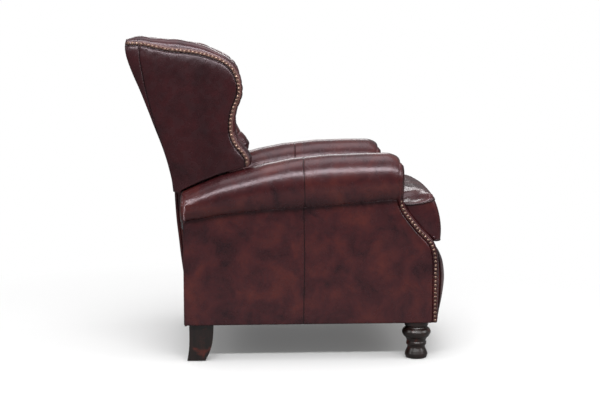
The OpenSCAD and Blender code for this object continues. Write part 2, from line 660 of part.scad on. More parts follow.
module seat_springs() color("gray") for (k = [0:spring_n - 1])
    translate([0, 0, rail_z + rail_h - wire_d - lay_gap]) linear_extrude(wire_d)
        polygon(band(zigzag(rail_in_x * (2 * k + 1 - spring_n) / spring_n), wire_d / 2, -wire_d / 2));
deck_lip = 6;
deck_front_y = -(base_front + deck_lip);
module seat_deck() color("#3a2a26")
    block([-plate_in_x, plate_in_x], [deck_front_y, seat_rear_y], [deck_z - deck_t, deck_z]);

// Seat cushion: rings across the seat from rear to front, wide ahead of the arm fronts
facing_face = backward(shifted(front_line, -facing_t));
facing_table = [for (p = facing_face) [p[1], p[0]]];
ear_gap = 3;
function ear_rear(z) = lookup(z, facing_table) - ear_gap;
cushion_z = deck_z + soft_gap;
cushion_half = seat_half_w - soft_gap;
cushion_rear_in = 194;
cushion_rear_y = base_rear - cushion_rear_in;
cushion_out = 29;
cushion_low_y = -(base_front + cushion_out);
cushion_lean = 24;
edge_r = 12;
crown_pow = 4;
cushion_n = 9;
function crown_at(s) = 1 - pow(abs(2 * s - 1), crown_pow);
// Right half of a ring as [share of half width, height above the seat deck, weight of the crown]
ring_half_shares = [[0, 0], [0.5, 0], [0.92, 0], [0.985, 0.07], [1, 0.5], [0.985, 0.94], [0.945, 1],
    [0.86, 1.02], [0.7, 1.05], [0.5, 1.07], [0.25, 1.08]];
function ring_top(s, g) = cushion_edge_h * min(s[1], 1) +
    (s[1] >= 1 ? cushion_crown * g * pow(max(1 - pow(s[0], crown_pow), 0), 0.7) : 0);
function ring_pts(w, g) = concat(
    [for (s = ring_half_shares) [s[0] * w, cushion_z + ring_top(s, g)]],
    [[0, cushion_z + ring_top([0, 1], g)]],
    [for (i = [len(ring_half_shares) - 1:-1:1]) let (s = ring_half_shares[i])
        [-s[0] * w, cushion_z + ring_top(s, g)]]);
function front_y(z) = cushion_low_y + cushion_lean * pow(max((z - cushion_z) / cushion_edge_h, 0), 1.6);
body_shares = [0, 0.012, 0.05, 0.15, 0.3, 0.45, 0.6, 0.75, 0.88, 0.96, 0.995];
body_front_y = scroll_y - facing_t;
function body_y(s) = cushion_rear_y + s * (body_front_y - cushion_rear_y);
function pull(y) = 1 - draw_in_share * sin(180 * min(max(
    (cushion_rear_y - y) / (cushion_rear_y - cushion_low_y), 0), 1));
cushion_rear_ring = [for (p = ring_pts(cushion_half - edge_r, 0.1))
    [p[0], cushion_rear_y, p[1] + (p[1] > cushion_z ? -edge_r / 2 : edge_r / 2)]];
cushion_body = [for (k = [1:len(body_shares) - 1])
    let (y = body_y(body_shares[k]), g = 0.3 + 0.7 * min(1, body_shares[k] * 3))
    [for (p = ring_pts(cushion_half * pull(y), g)) [p[0], y, p[1]]]];
// Rings of the ears as [share of the way to the front, weight of the crown], each with its half width
function ear_ring(w, s) = [for (p = ring_pts(w, s[1]))
    let (y0 = ear_rear(p[1]), y1 = front_y(p[1])) [p[0], y0 + s[0] * (y1 - y0), p[1]]];
ear_in_w = ear_half_w - edge_r;
ear_shares = [[0.12, 0.88], [0.45, 0.72], [0.75, 0.45]];
cushion_ears = concat([ear_ring(cushion_half, [-0.03, 1]), ear_ring(ear_in_w, [0, 0.95])],
    [for (s = ear_shares) ear_ring(ear_half_w, s)], [ear_ring(ear_half_w - edge_r / 3, [0.95, 0.2])]);
cushion_nose = [for (p = ear_ring(ear_in_w, [1, 0.05]))
    [p[0], p[1], cushion_z + (p[2] - cushion_z) * (1 - 2 * edge_r / cushion_edge_h) + edge_r]];
module seat_cushion() color("#5a2d2e")
    loft(concat([cushion_rear_ring], cushion_body, cushion_ears, [cushion_nose]));

// Rear outline of the back from its lower edge to its top, as (Y, Z)
rear_shares = [[0, 0], [0.045, 0.08], [0.085, 0.167], [0.12, 0.235], [0.148, 0.326], [0.165, 0.404],
    [0.222, 0.468], [0.341, 0.558], [0.523, 0.668], [0.722, 0.787], [0.864, 0.863], [0.966, 0.928],
    [1, 0.973], [0.985, 1]];
rear_pts = [for (s = rear_shares) [back_low_y + s[0] * back_run, back_low_z + s[1] * back_h]];
rear_line = curve(rear_pts, 3);
back_top_z = back_low_z + back_h;
back_rear_y = back_low_y + back_run;

outside_half_w = 305;
outside_side_gap = 2;
outside_low_half_w = plate_in_x - outside_side_gap;
wing_gap = 5;
arm_end_y = roll_y0 + arm_len;
outside_rise = 22;
outside_wide_z = arm_top(arm_end_y) + outside_rise;
outside_corner = 26;
module outside_back() color("#4d2628") intersection() {
    yz_slab(-outside_half_w, outside_half_w) polygon(band(rear_line, 0, outside_t));
    xz_slab(back_low_y - outside_t * 4, back_rear_y + outside_t) polygon([
        [-outside_low_half_w, back_low_z - over], [outside_low_half_w, back_low_z - over],
        [outside_low_half_w, outside_wide_z], [outside_half_w, outside_wide_z + outside_corner],
        [outside_half_w, back_top_z + over], [-outside_half_w, back_top_z + over],
        [-outside_half_w, outside_wide_z + outside_corner], [-outside_low_half_w, outside_wide_z]]);
}

// A bar of the back's frame, within the frame's depth
module back_bar(x, z, d0 = frame_face, d1 = frame_front) intersection() {
    yz_slab(x[0], x[1]) polygon(band(rear_line, d0, d1));
    block([x[0] - over, x[1] + over], [back_low_y - 2 * frame_front, back_rear_y + frame_front], z);
}
stile_up = 7;
stile_low_z = back_low_z + stile_up;
top_rail_h = 56;
top_rail_down = 31;
top_rail_z = back_top_z - top_rail_down - top_rail_h;
wing_set_in = 42.5;
wing_out_x = side_out_x - wing_set_in;
wing_ref_y = 480;
wing_cover_t = 9;
wing_core_t = 22;
wing_pad_t = 26;
core_in_x = wing_out_x - wing_cover_t - wing_core_t;
stile_in_x = stile_out_x - stile_w;
rail_half = stile_in_x - lay_gap;
module back_stile(side) color("burlywood") sided(side)
    back_bar([stile_in_x, stile_out_x], [stile_low_z, top_rail_z - lay_gap]);
top_rail_half = core_in_x - over - (back_rear_y - wing_ref_y) * sin(wing_flare);
module back_top_rail() color("burlywood")
    back_bar([-top_rail_half, top_rail_half], [top_rail_z, top_rail_z + top_rail_h]);
middle_rail_down = 66;
middle_rail_z = arm_top_z - middle_rail_down;
middle_rail_h = 46;
module back_middle_rails() color("burlywood") {
    back_bar([-rail_half, rail_half], [middle_rail_z, middle_rail_z + middle_rail_h]);
    both() back_bar([stile_out_x + lay_gap, core_in_x + over],
        [middle_rail_z, middle_rail_z + middle_rail_h]);
}
module back_lower_rail() color("burlywood")
    back_bar([-rail_half, rail_half], [stile_low_z, stile_low_z + top_rail_h]);
web_n = 4;
web_h = 50;
web_t = 2;
web_clear = 30;
web_z0 = middle_rail_z + middle_rail_h + web_clear;
web_z1 = top_rail_z - web_clear - web_h;
module back_webbing() color("#3b3330") for (k = [0:web_n - 1])
    let (z = web_z0 + k * (web_z1 - web_z0) / (web_n - 1))
    back_bar([-rail_half, rail_half], [z, z + web_h], frame_front - web_t - lay_gap, frame_front - lay_gap);
bracket_t = 3;
bracket_r = 14;
bracket_h = 125;
bracket_rear_in = 3;
bracket_front_in = 4;
module back_brackets() color("slategray") both() difference() {
    union() {
        back_bar([stile_out_x + lay_gap / 2, stile_out_x + bracket_t], [pivot_z, pivot_z + bracket_h],
            frame_face + bracket_rear_in, frame_front - bracket_front_in);
        x_rod(stile_out_x + lay_gap / 2, stile_out_x + bracket_t, pivot_y, pivot_z, bracket_r);
    }
    x_rod(stile_out_x - over, stile_out_x + bracket_t + over, pivot_y, pivot_z, pivot_r + bore_gap);
}

// Wings: the front edge from the rear of the top round to the lower tip, as shares back from the top
wing_shares = [[0.01, 0], [0.08, 0.001], [0.162, 0.008], [0.344, 0.04], [0.529, 0.056], [0.666, 0.079],
    [0.787, 0.116], [0.871, 0.166], [0.919, 0.235], [0.939, 0.314], [0.929, 0.38], [0.891, 0.455],
    [0.868, 0.547], [0.876, 0.63], [0.909, 0.686], [0.967, 0.74], [1, 0.792], [0.998, 0.83]];
// The gap under the wing widens rearward, so that its lower edge is nearly straight over the arm
wing_foot_rise = 11;
wing_tip_y = back_rear_y - wing_depth;
function wing_foot(y) = arm_top(y) + wing_gap
    + wing_foot_rise * min(max((y - wing_tip_y) / (arm_end_y - wing_tip_y), 0), 1);
function rear_at(d, z) = lookup(z, [for (p = shifted(rear_line, d)) [p[1], p[0]]]);
wing_curve = curve([for (s = wing_shares) [back_rear_y - s[0] * wing_depth, back_top_z - s[1] * wing_h]], 2);
wing_edge = [for (p = wing_curve) if (p[1] > wing_foot(p[0]) + over) p];
wing_tip = wing_edge[len(wing_edge) - 1];
wing_tip_run = 15;
wing_bottom = [for (t = roll_tops)
    if (t[0] > wing_tip[0] + wing_tip_run && t[0] < rear_at(outside_t + over, wing_foot(t[0])))
        [t[0], wing_foot(t[0])]];
wing_end_gap = 8;
wing_top_gap = 3;
function wing_rear(d) = [for (p = shifted(rear_line, d))
    if (p[1] > wing_foot(p[0]) + wing_end_gap && p[1] < back_top_z - wing_top_gap) p];
module wing_outline(grow, rear_in) polygon(concat(
    [for (p = shifted(wing_edge, grow)) if (p[0] <= back_rear_y - rear_in * 1.5) p],
    wing_bottom, wing_rear(rear_in)));
module wing_place() translate([wing_out_x, wing_ref_y, 0]) rotate([0, 0, wing_flare])
    translate([0, -wing_ref_y, 0]) children();
core_edge_in = 6;
module wing_core(side) color("burlywood") sided(side) wing_place()
    yz_slab(-wing_cover_t - wing_core_t, -wing_cover_t - lay_gap)
    wing_outline(core_edge_in, outside_t + over);
module wing_cover(side) color("#452124") sided(side) wing_place()
    yz_slab(-wing_cover_t, 0) wing_outline(0, 0);
wing_roll = 12;
module wing_pad(side) color("#54292b") sided(side) wing_place() flat_loft(backward(wing_pad_rings));

// The pad lies ahead of the back's frame and steps rearward over the top rail
rail_clear = 1;
wing_pad_back = outside_t + over;
wing_pad_step_z = top_rail_z + top_rail_h + lay_gap;
wing_pad_rear = concat(
    [for (p = wing_rear(frame_front + rail_clear)) if (p[1] < wing_pad_step_z - wing_end_gap) p],
    [for (d = [frame_front + rail_clear, wing_pad_back]) [rear_at(d, wing_pad_step_z), wing_pad_step_z]]);
wing_pad_edge = [for (i = [0:len(wing_edge) - 1])
    if (wing_edge[i][0] < back_rear_y - wing_pad_back * 1.5) i];
wing_pad_line = shifted(wing_edge, -wing_roll);
wing_middle = [back_rear_y - wing_depth / 2, back_top_z - wing_h / 2];
function toward(p, c, s) = c + (p - c) * s;
// Rings of the pad: share of its thickness, share of its roll, size about the wing's middle
wing_pad_shares = [[0, 0, 0.995], [0.25, 0.8, 1], [0.7, 0.9, 0.995], [1, 0.3, 0.955]];
function wing_pad_ring(s) = let (
    edge = [for (i = wing_pad_edge)
        toward(wing_edge[i] + s[1] * (wing_pad_line[i] - wing_edge[i]), wing_middle, s[2])],
    lift = (1 - s[2]) * wing_h / 2,
    bottom = [for (p = wing_bottom) if (p[0] < wing_pad_rear[0][0]) [p[0], p[1] + lift]],
    top_z = edge[0][1] - wing_top_gap)
    concat(edge, bottom, wing_pad_rear, [[rear_at(wing_pad_back, top_z), top_z]]);
wing_pad_rings = [for (s = wing_pad_shares)
    let (x = -wing_cover_t - wing_core_t - lay_gap - s[0] * wing_pad_t)
    [for (p = wing_pad_ring(s)) [x, p[0], p[1]]]];
wing_nail_row = spaced(shifted(wing_edge, nail_row_in), nail_pitch, nail_end_in);
module wing_nails(side) color("#6b5436") sided(side) wing_place() for (p = wing_nail_row)
    translate([lay_gap / 2, p[0], p[1]]) rotate([0, 90, 0]) nail();

// Inner back: front profile from the lower edge up and over the top
pad_front_in = 189;
pad_front_y = base_rear - pad_front_in;
pad_below_pivot = 23;
back_pad_low_z = pivot_z - pad_below_pivot;
pad_over_top = 7;
pad_h = back_top_z + pad_over_top - back_pad_low_z;
pad_top_set_in = 7;
pad_run = back_rear_y - pad_top_set_in - pad_front_y;
pad_shares = [[0.247, 0], [0.1, 0.01], [0.027, 0.052], [0.005, 0.138], [0.003, 0.233], [0.016, 0.327],
    [0.06, 0.43], [0.148, 0.547], [0.255, 0.673], [0.382, 0.786], [0.53, 0.885], [0.677, 0.956],
    [0.825, 0.991], [0.938, 1], [0.985, 0.985]];
pad_line = [for (s = pad_shares) [pad_front_y + s[0] * pad_run, back_pad_low_z + s[1] * pad_h]];
pad_cols = 20;
pad_rows = 24;
pad_side_gap = 2;
pad_wide = core_in_x - wing_pad_t - pad_side_gap;
pad_low_gap = 1;
pad_narrow = outside_low_half_w - pad_low_gap;
pad_wide_up = 30;
pad_wide_z = arm_top_z + pad_wide_up;
pad_widen_h = 60;
puff = 16;
crown_in = 30;
tuft_row0 = 8;
over_rail_row = 20;
tuft_step = 3;
tuft_rows = 5;
col_step = 4;
function pad_half(z) = pad_narrow +
    (pad_wide - pad_narrow) * min(max((z - pad_wide_z) / pad_widen_h + 1, 0), 1);
function tufted(j) = min(max((j - tuft_row0 + tuft_step) / tuft_step, 0), 1) *
    min(max((tuft_row0 + tuft_step * tuft_rows - j) / tuft_step, 0), 1);
function pad_puff(i, j) =
    let (p = (i - pad_cols / 2) / col_step + (j - tuft_row0) / (2 * tuft_step),
         q = (i - pad_cols / 2) / col_step - (j - tuft_row0) / (2 * tuft_step))
    puff * sqrt(abs(sin(180 * p) * sin(180 * q))) * tufted(j) + puff * (1 - tufted(j));
function pad_normal(j) =
    let (a = curve_at(pad_line, max(j - 0.5, 0) / pad_rows),
         b = curve_at(pad_line, min(j + 0.5, pad_rows) / pad_rows), v = unit(b - a))
    [-v[1], v[0]];
function pad_fade(j) = min(1, j / 2, (pad_rows - j) / 3);
function pad_crown(j) = crown_in * min(1, max(over_rail_row - j, 0) / tuft_row0);
function pad_pt(i, j) =
    let (u = 2 * i / pad_cols - 1, b = curve_at(pad_line, j / pad_rows), n = pad_normal(j),
         lift = pad_fade(j) * (pad_puff(i, j) * (1 - pow(abs(u), 6)) - puff - pad_crown(j) * pow(abs(u), 8)))
    [u * pad_half(b[1]), b[0] + n[0] * lift, b[1] + n[1] * lift];
pad_front = [for (j = [0:pad_rows]) [for (i = [0:pad_cols]) pad_pt(i, j)]];
pad_back_z = top_rail_z + top_rail_h + 2 * lay_gap;
pad_rear_gap = 2;
rear_face = shifted(rear_line, frame_front + pad_rear_gap);
rear_face_table = [for (p = rear_face) [p[1], p[0]]];
pad_seat_up = 8;
pad_seat_z = back_pad_low_z + pad_seat_up;
pad_top_in = 4;
pad_top_rise = 26;
over_rail = over_rail_row / pad_rows;
function pad_rear_yz(j) = let (s = j / pad_rows, top_y = back_rear_y - outside_t - pad_top_in)
    s < over_rail
        ? let (z = pad_seat_z + s / over_rail * (pad_back_z - pad_seat_z)) [lookup(z, rear_face_table), z]
        : let (k = (s - over_rail) / (1 - over_rail), y0 = lookup(pad_back_z, rear_face_table))
            [y0 + min(1, k * 1.5) * (top_y - y0), pad_back_z + max(0, k * 1.5 - 1) * pad_top_rise];
pad_rear = [for (j = [0:pad_rows]) let (r = pad_rear_yz(j)) [for (i = [0:pad_cols])
    [pad_front[j][i][0], r[0], r[1]]]];
module back_pad() color("#5a2d2e") pillow(pad_front, pad_rear);

button_r = 11;
button_h = 10;
button_seat = 0.5;
button_shares = [[0, 0], [0.9, 0.62], [1, 0.71], [0.85, 0.89], [0.5, 0.98], [0, 1]];
module tuft_button(i, j) {
    p = pad_pt(i, j);
    n = pad_normal(j);
    translate([p[0], p[1] + n[0] * button_seat, p[2] + n[1] * button_seat])
        rotate([90 - atan2(n[1], -n[0]), 0, 0]) rotate_extrude($fn = round_fn / 2)
        polygon([for (s = button_shares) [s[0] * button_r, s[1] * button_h]]);
}
function tuft_half(k) = (tuft_cols - 1 - k % 2) / 2;
module tuft_buttons() color("#4a2426") for (k = [0:tuft_rows - 1])
    for (c = [-tuft_half(k):1:tuft_half(k)])
        tuft_button(pad_cols / 2 + c * col_step, tuft_row0 + k * tuft_step);

side_panel(RIGHT);  // side_panel_right
side_panel(LEFT);  // side_panel_left
inner_arm_panel(RIGHT);  // inner_arm_panel_right
inner_arm_panel(LEFT);  // inner_arm_panel_left
arm_roll(RIGHT);  // arm_roll_right
arm_roll(LEFT);  // arm_roll_left
inner_arm_pad(RIGHT);  // inner_arm_pad_right
inner_arm_pad(LEFT);  // inner_arm_pad_left
side_cover(RIGHT);  // side_cover_right
side_cover(LEFT);  // side_cover_left
arm_front(RIGHT);  // arm_front_right
arm_front(LEFT);  // arm_front_left
arm_nails();
corner_blocks();
rear_rail();
rear_cover();
arm_back_covers();
front_stretcher();
front_leg(RIGHT);  // front_leg_right
front_leg(LEFT);  // front_leg_left
rear_leg(RIGHT);  // rear_leg_right
rear_leg(LEFT);  // rear_leg_left
leg_bolts();
leg_glides();
seat_tracks();
seat_plate(RIGHT);  // seat_plate_right
seat_plate(LEFT);  // seat_plate_left
slide_blocks();
seat_side_rails();
seat_front_rail();
seat_rear_rail();
seat_springs();
seat_deck();
seat_cushion();
back_pivot_pins();
link_pivot_pins();
back_stile(RIGHT);  // back_stile_right
back_stile(LEFT);  // back_stile_left
back_top_rail();
back_middle_rails();
back_lower_rail();
back_webbing();
back_brackets();
wing_core(RIGHT);  // wing_core_right
wing_core(LEFT);  // wing_core_left
wing_cover(RIGHT);  // wing_cover_right
wing_cover(LEFT);  // wing_cover_left
wing_pad(RIGHT);  // wing_pad_right
wing_pad(LEFT);  // wing_pad_left
wing_nails(RIGHT);  // wing_nails_right
wing_nails(LEFT);  // wing_nails_left
back_pad();
tuft_buttons();
outside_back();
lift_links();
cross_links();
short_links();
footrest_links();
footrest_board();
footrest_pad();
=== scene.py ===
"""Looks of the wingback recliner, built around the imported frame. Metres, +Z up, the sitter faces -Y."""
import json
import math
import random

import bmesh
import bpy
import numpy as np
from mathutils import Matrix, Vector, geometry, noise
from mathutils.bvhtree import BVHTree


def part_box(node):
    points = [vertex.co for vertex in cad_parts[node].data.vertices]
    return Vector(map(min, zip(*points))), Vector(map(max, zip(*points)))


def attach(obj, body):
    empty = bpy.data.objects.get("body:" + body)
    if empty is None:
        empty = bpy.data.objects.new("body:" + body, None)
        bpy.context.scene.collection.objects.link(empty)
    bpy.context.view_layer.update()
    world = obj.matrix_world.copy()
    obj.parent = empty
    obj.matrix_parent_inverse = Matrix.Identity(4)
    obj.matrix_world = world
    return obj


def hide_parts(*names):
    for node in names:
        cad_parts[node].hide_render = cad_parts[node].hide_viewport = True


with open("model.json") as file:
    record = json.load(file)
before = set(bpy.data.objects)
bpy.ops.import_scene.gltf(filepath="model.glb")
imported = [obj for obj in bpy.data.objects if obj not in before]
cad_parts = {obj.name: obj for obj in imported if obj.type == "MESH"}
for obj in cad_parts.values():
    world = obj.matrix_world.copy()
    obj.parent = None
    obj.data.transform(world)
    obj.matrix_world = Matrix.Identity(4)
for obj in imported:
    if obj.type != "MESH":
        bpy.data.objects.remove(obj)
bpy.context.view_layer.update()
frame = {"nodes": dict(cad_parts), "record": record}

MM = 0.001
RIGHT, LEFT = -1, 1
SIDE_NAMES = {RIGHT: "right", LEFT: "left"}


def mm(*sizes):
    return [size * MM for size in sizes]


# Places and sizes that more than one piece uses
SIDE_SEAM_Y = -43 * MM
ARM_UNDER_Z = 420 * MM
ARM_NOSE_FALL = 16 * MM
NAIL_STRIP = 14.5 * MM
# SEAM_GROOVE is how wide a seam's groove is; SEAM_SHADE is how wide the painted shade along a seam spreads.
SEAM_GROOVE, SEAM_SHADE = 1.9 * MM, 1.4 * MM
SEAM_ROWS = mm(-8, -5.5, -3.6, -2.2, -1.1, 0, 1.1, 2.2, 3.6, 5.5, 8)
LINED_NODES = ("wing_core", "side_panel", "inner_arm_panel", "back_stile", "rear_rail", "seat_side_rails")


def new_object(name, data):
    thing = bpy.data.objects.new(name, data)
    bpy.context.scene.collection.objects.link(thing)
    return thing


def make_camera():
    """The photograph's viewing angle."""
    camera_at = Vector((-4.394, 0.192, 1.027))
    yaw, pitch = math.radians(3.144), math.radians(6.986)
    forward = Vector((math.cos(pitch) * math.cos(yaw), -math.cos(pitch) * math.sin(yaw), -math.sin(pitch)))
    right = Vector((-math.sin(yaw), -math.cos(yaw), 0))
    data = bpy.data.cameras.new("camera")
    data.lens = 75.9
    data.sensor_width = 36
    data.clip_end = 30
    camera = new_object("camera", data)
    turn = Matrix((right, right.cross(forward), -forward)).transposed()
    camera.matrix_world = Matrix.Translation(camera_at) @ turn.to_4x4()
    bpy.context.scene.camera = camera


# Node trees
class Tree:
    """A node tree that is filled by short calls."""

    def __init__(self, owner):
        owner.use_nodes = True
        self.tree = owner.node_tree
        self.tree.nodes.clear()

    def feed(self, node, sockets):
        """Sets or links a node's sockets, given by name or number."""
        for key, value in sockets.items():
            if isinstance(value, bpy.types.NodeSocket):
                self.tree.links.new(value, node.inputs[key])
            else:
                node.inputs[key].default_value = value

    def add(self, kind, settings=None, numbered=None, **named):
        node = self.tree.nodes.new("ShaderNode" + kind)
        for key, value in (settings or {}).items():
            setattr(node, key, value)
        self.feed(node, numbered or {})
        self.feed(node, {key.replace("_", " "): value for key, value in named.items()})
        return node

    def noise(self, vector, scale, detail=2.0, rough=0.5, twist=0.0):
        node = self.add("TexNoise", Vector=vector, Scale=scale, Detail=detail, Roughness=rough,
                        Distortion=twist)
        return node.outputs["Fac"]

    def stretched(self, vector, scale):
        return self.add("Mapping", Vector=vector, Scale=scale).outputs["Vector"]

    def ramp(self, factor, stops):
        node = self.add("ValToRGB", Fac=factor)
        marks = node.color_ramp.elements
        while len(marks) < len(stops):
            marks.new(0.5)
        for mark, (place, colour) in zip(marks, stops):
            mark.position = place
            mark.color = (*colour, 1)
        return node.outputs["Color"]

    def spread(self, factor, low, high, start=0.0, end=1.0):
        """A factor from start to end as a value from low to high."""
        node = self.add("MapRange", Value=factor, From_Min=start, From_Max=end, To_Min=low, To_Max=high)
        return node.outputs["Result"]

    def mix(self, factor, a, b, how="MIX"):
        return self.add("Mix", {"data_type": "RGBA", "blend_type": how}, {0: factor, 6: a, 7: b}).outputs[2]

    def mix_shaders(self, factor, a, b):
        return self.add("MixShader", None, {0: factor, 1: a.outputs[0], 2: b.outputs[0]}).outputs[0]

    def times(self, a, b):
        return self.add("Math", {"operation": "MULTIPLY"}, {0: a, 1: b}).outputs[0]

    def bump(self, height, strength, distance, normal=None):
        node = self.add("Bump", Height=height, Strength=strength, Distance=distance)
        if normal is not None:
            self.feed(node, {"Normal": normal})
        return node.outputs["Normal"]


def linear(red, green, blue):
    """A colour of 0 to 255 a channel as linear light."""
    shares = [channel / 255 for channel in (red, green, blue)]
    return tuple(s / 12.92 if s <= 0.04045 else ((s + 0.055) / 1.055) ** 2.4 for s in shares)


def new_material(name):
    """A material, its tree, its shader and the object's coordinates."""
    material = bpy.data.materials.new(name)
    tree = Tree(material)
    shader = tree.add("BsdfPrincipled")
    tree.add("OutputMaterial", Surface=shader.outputs["BSDF"])
    return material, tree, shader, tree.add("TexCoord").outputs["Object"]


# Materials
def leather(name, deep, middle, warm, rough):
    """Hand-rubbed leather: cloudy colour, pebbled grain, fine creases, painted shade where the mesh's shade
    attribute is above zero and a paler colour where it is below zero.
    """
    material, tree, shader, place = new_material(name)
    clouds = tree.noise(place, 11, 5, 0.62, 0.4)
    patches = tree.noise(place, 34, 4, 0.6, 0.3)
    pebbles = tree.add("TexVoronoi", {"feature": "DISTANCE_TO_EDGE"}, Vector=place, Scale=420.0)
    cells = pebbles.outputs["Distance"]
    shade = tree.add("Attribute", {"attribute_name": "shade"}).outputs["Fac"]
    colour = tree.ramp(clouds, [(0.3, deep), (0.5, middle), (0.72, warm)])
    colour = tree.mix(tree.spread(patches, 0, 0.3, 0.44, 0.7), colour, (*deep, 1))
    colour = tree.mix(1.0, colour, tree.spread(cells, 0.72, 1.0, 0.0, 0.16), "MULTIPLY")
    # Painted shade: above zero the shade attribute darkens the colour towards a near-black copy of the
    # deepest colour, in seams, grooves, pleats, tuft valleys and under the arm rolls.
    colour = tree.mix(tree.spread(shade, 0, 1), colour, (*[c * 0.15 for c in deep], 1))
    # Below zero the shade attribute makes the colour paler: the pale strip along the wings' nails.
    colour = tree.mix(tree.spread(shade, 0, 1, 0, -1), colour, (*linear(128, 92, 84), 1))
    creases = tree.bump(tree.noise(place, 70, 6, 0.65, 1.4), 0.18, 0.5 * MM)
    tree.feed(shader, {
        "Base Color": colour, "Roughness": tree.spread(patches, rough - 0.05, rough + 0.08, 0.3, 0.7),
        "Specular IOR Level": 0.5, "Specular Tint": (1.0, 0.86, 0.93, 1),
        "Normal": tree.bump(tree.spread(cells, 0, 1, 0, 0.2), 0.2, 0.2 * MM, creases)})
    return material


def brass(name):
    """Antique brass: worn bright crowns, brown in the hollows."""
    material, tree, shader, place = new_material(name)
    wear = tree.noise(place, 190, 3, 0.6)
    stops = [(0.35, linear(84, 64, 58)), (0.55, linear(152, 124, 110)), (0.75, linear(200, 174, 158))]
    tree.feed(shader, {"Base Color": tree.ramp(wear, stops), "Metallic": 1.0,
                       "Roughness": tree.spread(wear, 0.5, 0.3, 0.35, 0.7),
                       "Normal": tree.bump(wear, 0.2, 0.3 * MM)})
    return material


def dark_wood(name):
    """Espresso stain, rubbed through to red on the high places and along the grain."""
    material, tree, shader, place = new_material(name)
    grain = tree.noise(tree.stretched(place, (60, 60, 7)), 1.0, 6, 0.65, 0.7)
    worn = tree.spread(tree.noise(place, 22, 4, 0.6, 0.6), 0, 0.75, 0.56, 0.72)
    stops = [(0.35, linear(17, 9, 8)), (0.6, linear(34, 18, 15)), (0.8, linear(58, 26, 19))]
    tree.feed(shader, {"Base Color": tree.mix(worn, tree.ramp(grain, stops), (*linear(104, 40, 28), 1)),
                       "Roughness": tree.spread(grain, 0.26, 0.42),
                       "Coat Weight": 0.25, "Coat Roughness": 0.2,
                       "Normal": tree.bump(grain, 0.25, 0.4 * MM)})
    return material


def pale_wood(name):
    """Bare hardwood and plywood."""
    material, tree, shader, place = new_material(name)
    grain = tree.noise(tree.stretched(place, (50, 9, 50)), 1.0, 5, 0.6, 1.2)
    stops = [(0.3, linear(150, 112, 72)), (0.55, linear(188, 150, 104)), (0.75, linear(206, 172, 126))]
    tree.feed(shader, {"Base Color": tree.ramp(grain, stops), "Roughness": tree.spread(grain, 0.55, 0.75),
                       "Normal": tree.bump(grain, 0.2, 0.3 * MM)})
    return material


def steel(name):
    """Zinc-plated steel."""
    material, tree, shader, place = new_material(name)
    streaks = tree.noise(place, 120, 4, 0.6, 0.3)
    colour = tree.ramp(streaks, [(0.3, linear(104, 104, 108)), (0.7, linear(158, 158, 162))])
    tree.feed(shader, {"Base Color": colour, "Metallic": 0.9, "Roughness": tree.spread(streaks, 0.32, 0.5)})
    return material


def woven(name, dark, pale, pitch):
    """Plain woven cloth with the given pitch between its threads."""
    material, tree, shader, place = new_material(name)
    scale = 1 / (2 * pitch)
    warp, weft = (tree.add("TexWave", {"bands_direction": axis}, Vector=place, Scale=scale, Distortion=0.6)
                  for axis in ("X", "Y"))
    weave = tree.times(warp.outputs["Fac"], weft.outputs["Fac"])
    fuzz = tree.noise(place, 160, 3)
    colour = tree.mix(weave, (*dark, 1), (*pale, 1))
    tree.feed(shader, {"Base Color": tree.mix(tree.spread(fuzz, 0, 0.4), colour, (*dark, 1)),
                       "Roughness": tree.spread(fuzz, 0.75, 0.95), "Normal": tree.bump(weave, 0.5, 0.4 * MM)})
    return material


def nylon(name):
    """Moulded nylon."""
    material, tree, shader, place = new_material(name)
    speckle = tree.noise(place, 90, 3)
    colour = tree.ramp(speckle, [(0.3, linear(196, 190, 172)), (0.7, linear(222, 216, 198))])
    tree.feed(shader, {"Base Color": colour, "Roughness": tree.spread(speckle, 0.4, 0.55)})
    return material


DEEP = linear(40, 16, 20)
MATERIALS = {
    "leather_outer": leather("leather_outer", DEEP, linear(68, 29, 31), linear(90, 40, 35), 0.23),
    "leather_inner": leather("leather_inner", DEEP, linear(66, 28, 31), linear(86, 38, 35), 0.23),
    "nail_brass": brass("nail_brass"),
    "leg_wood": dark_wood("leg_wood"),
    "frame_wood": pale_wood("frame_wood"),
    "steel": steel("steel"),
    "nylon": nylon("nylon"),
    "deck_fabric": woven("deck_fabric", linear(30, 22, 20), linear(60, 46, 42), 1.2 * MM),
    "webbing": woven("webbing", linear(52, 42, 36), linear(120, 104, 84), 1.6 * MM),
}
WING = leather("leather_wing", linear(38, 15, 18), linear(50, 20, 23), linear(62, 24, 27), 0.25)
WELT = leather("welt", linear(26, 14, 15), linear(44, 23, 24), linear(60, 30, 27), 0.36)


# Shapes of the frame
def merged(node):
    shape = bmesh.new()
    shape.from_mesh(frame["nodes"][node].data)
    bmesh.ops.remove_doubles(shape, verts=shape.verts, dist=0.01 * MM)
    shape.verts.index_update()
    shape.normal_update()
    return shape


def rim(node, facing, near=None):
    """The longest outline of the faces of a node whose normals facing() picks, as an array of points."""
    shape = merged(node)
    faces = [f for f in shape.faces if facing(f.normal) and (near is None or near(f.calc_center_median()))]
    picked = set(faces)
    after = {}
    for face in faces:
        for corner in face.loops:
            if sum(f in picked for f in corner.edge.link_faces) == 1:
                after[corner.vert.index] = corner.link_loop_next.vert.index
    places = {v.index: tuple(v.co) for v in shape.verts}
    shape.free()
    outlines = []
    while after:
        start, stop = after.popitem()
        outline = [start]
        while stop in after:
            outline.append(stop)
            stop = after.pop(stop)
        outlines.append(np.array([places[i] for i in outline]))
    return max(outlines, key=lambda o: np.linalg.norm(o - np.roll(o, 1, 0), axis=1).sum())


def islands(node):
    """The vertices of each of a node's loose pieces."""
    shape = merged(node)
    seen, found = set(), []
    for first in shape.verts:
        if first in seen:
            continue
        seen.add(first)
        island = [first]
        for vert in island:
            for edge in vert.link_edges:
                other = edge.other_vert(vert)
                if other not in seen:
                    seen.add(other)
                    island.append(other)
        found.append(np.array([tuple(v.co) for v in island]))
    shape.free()
    return found


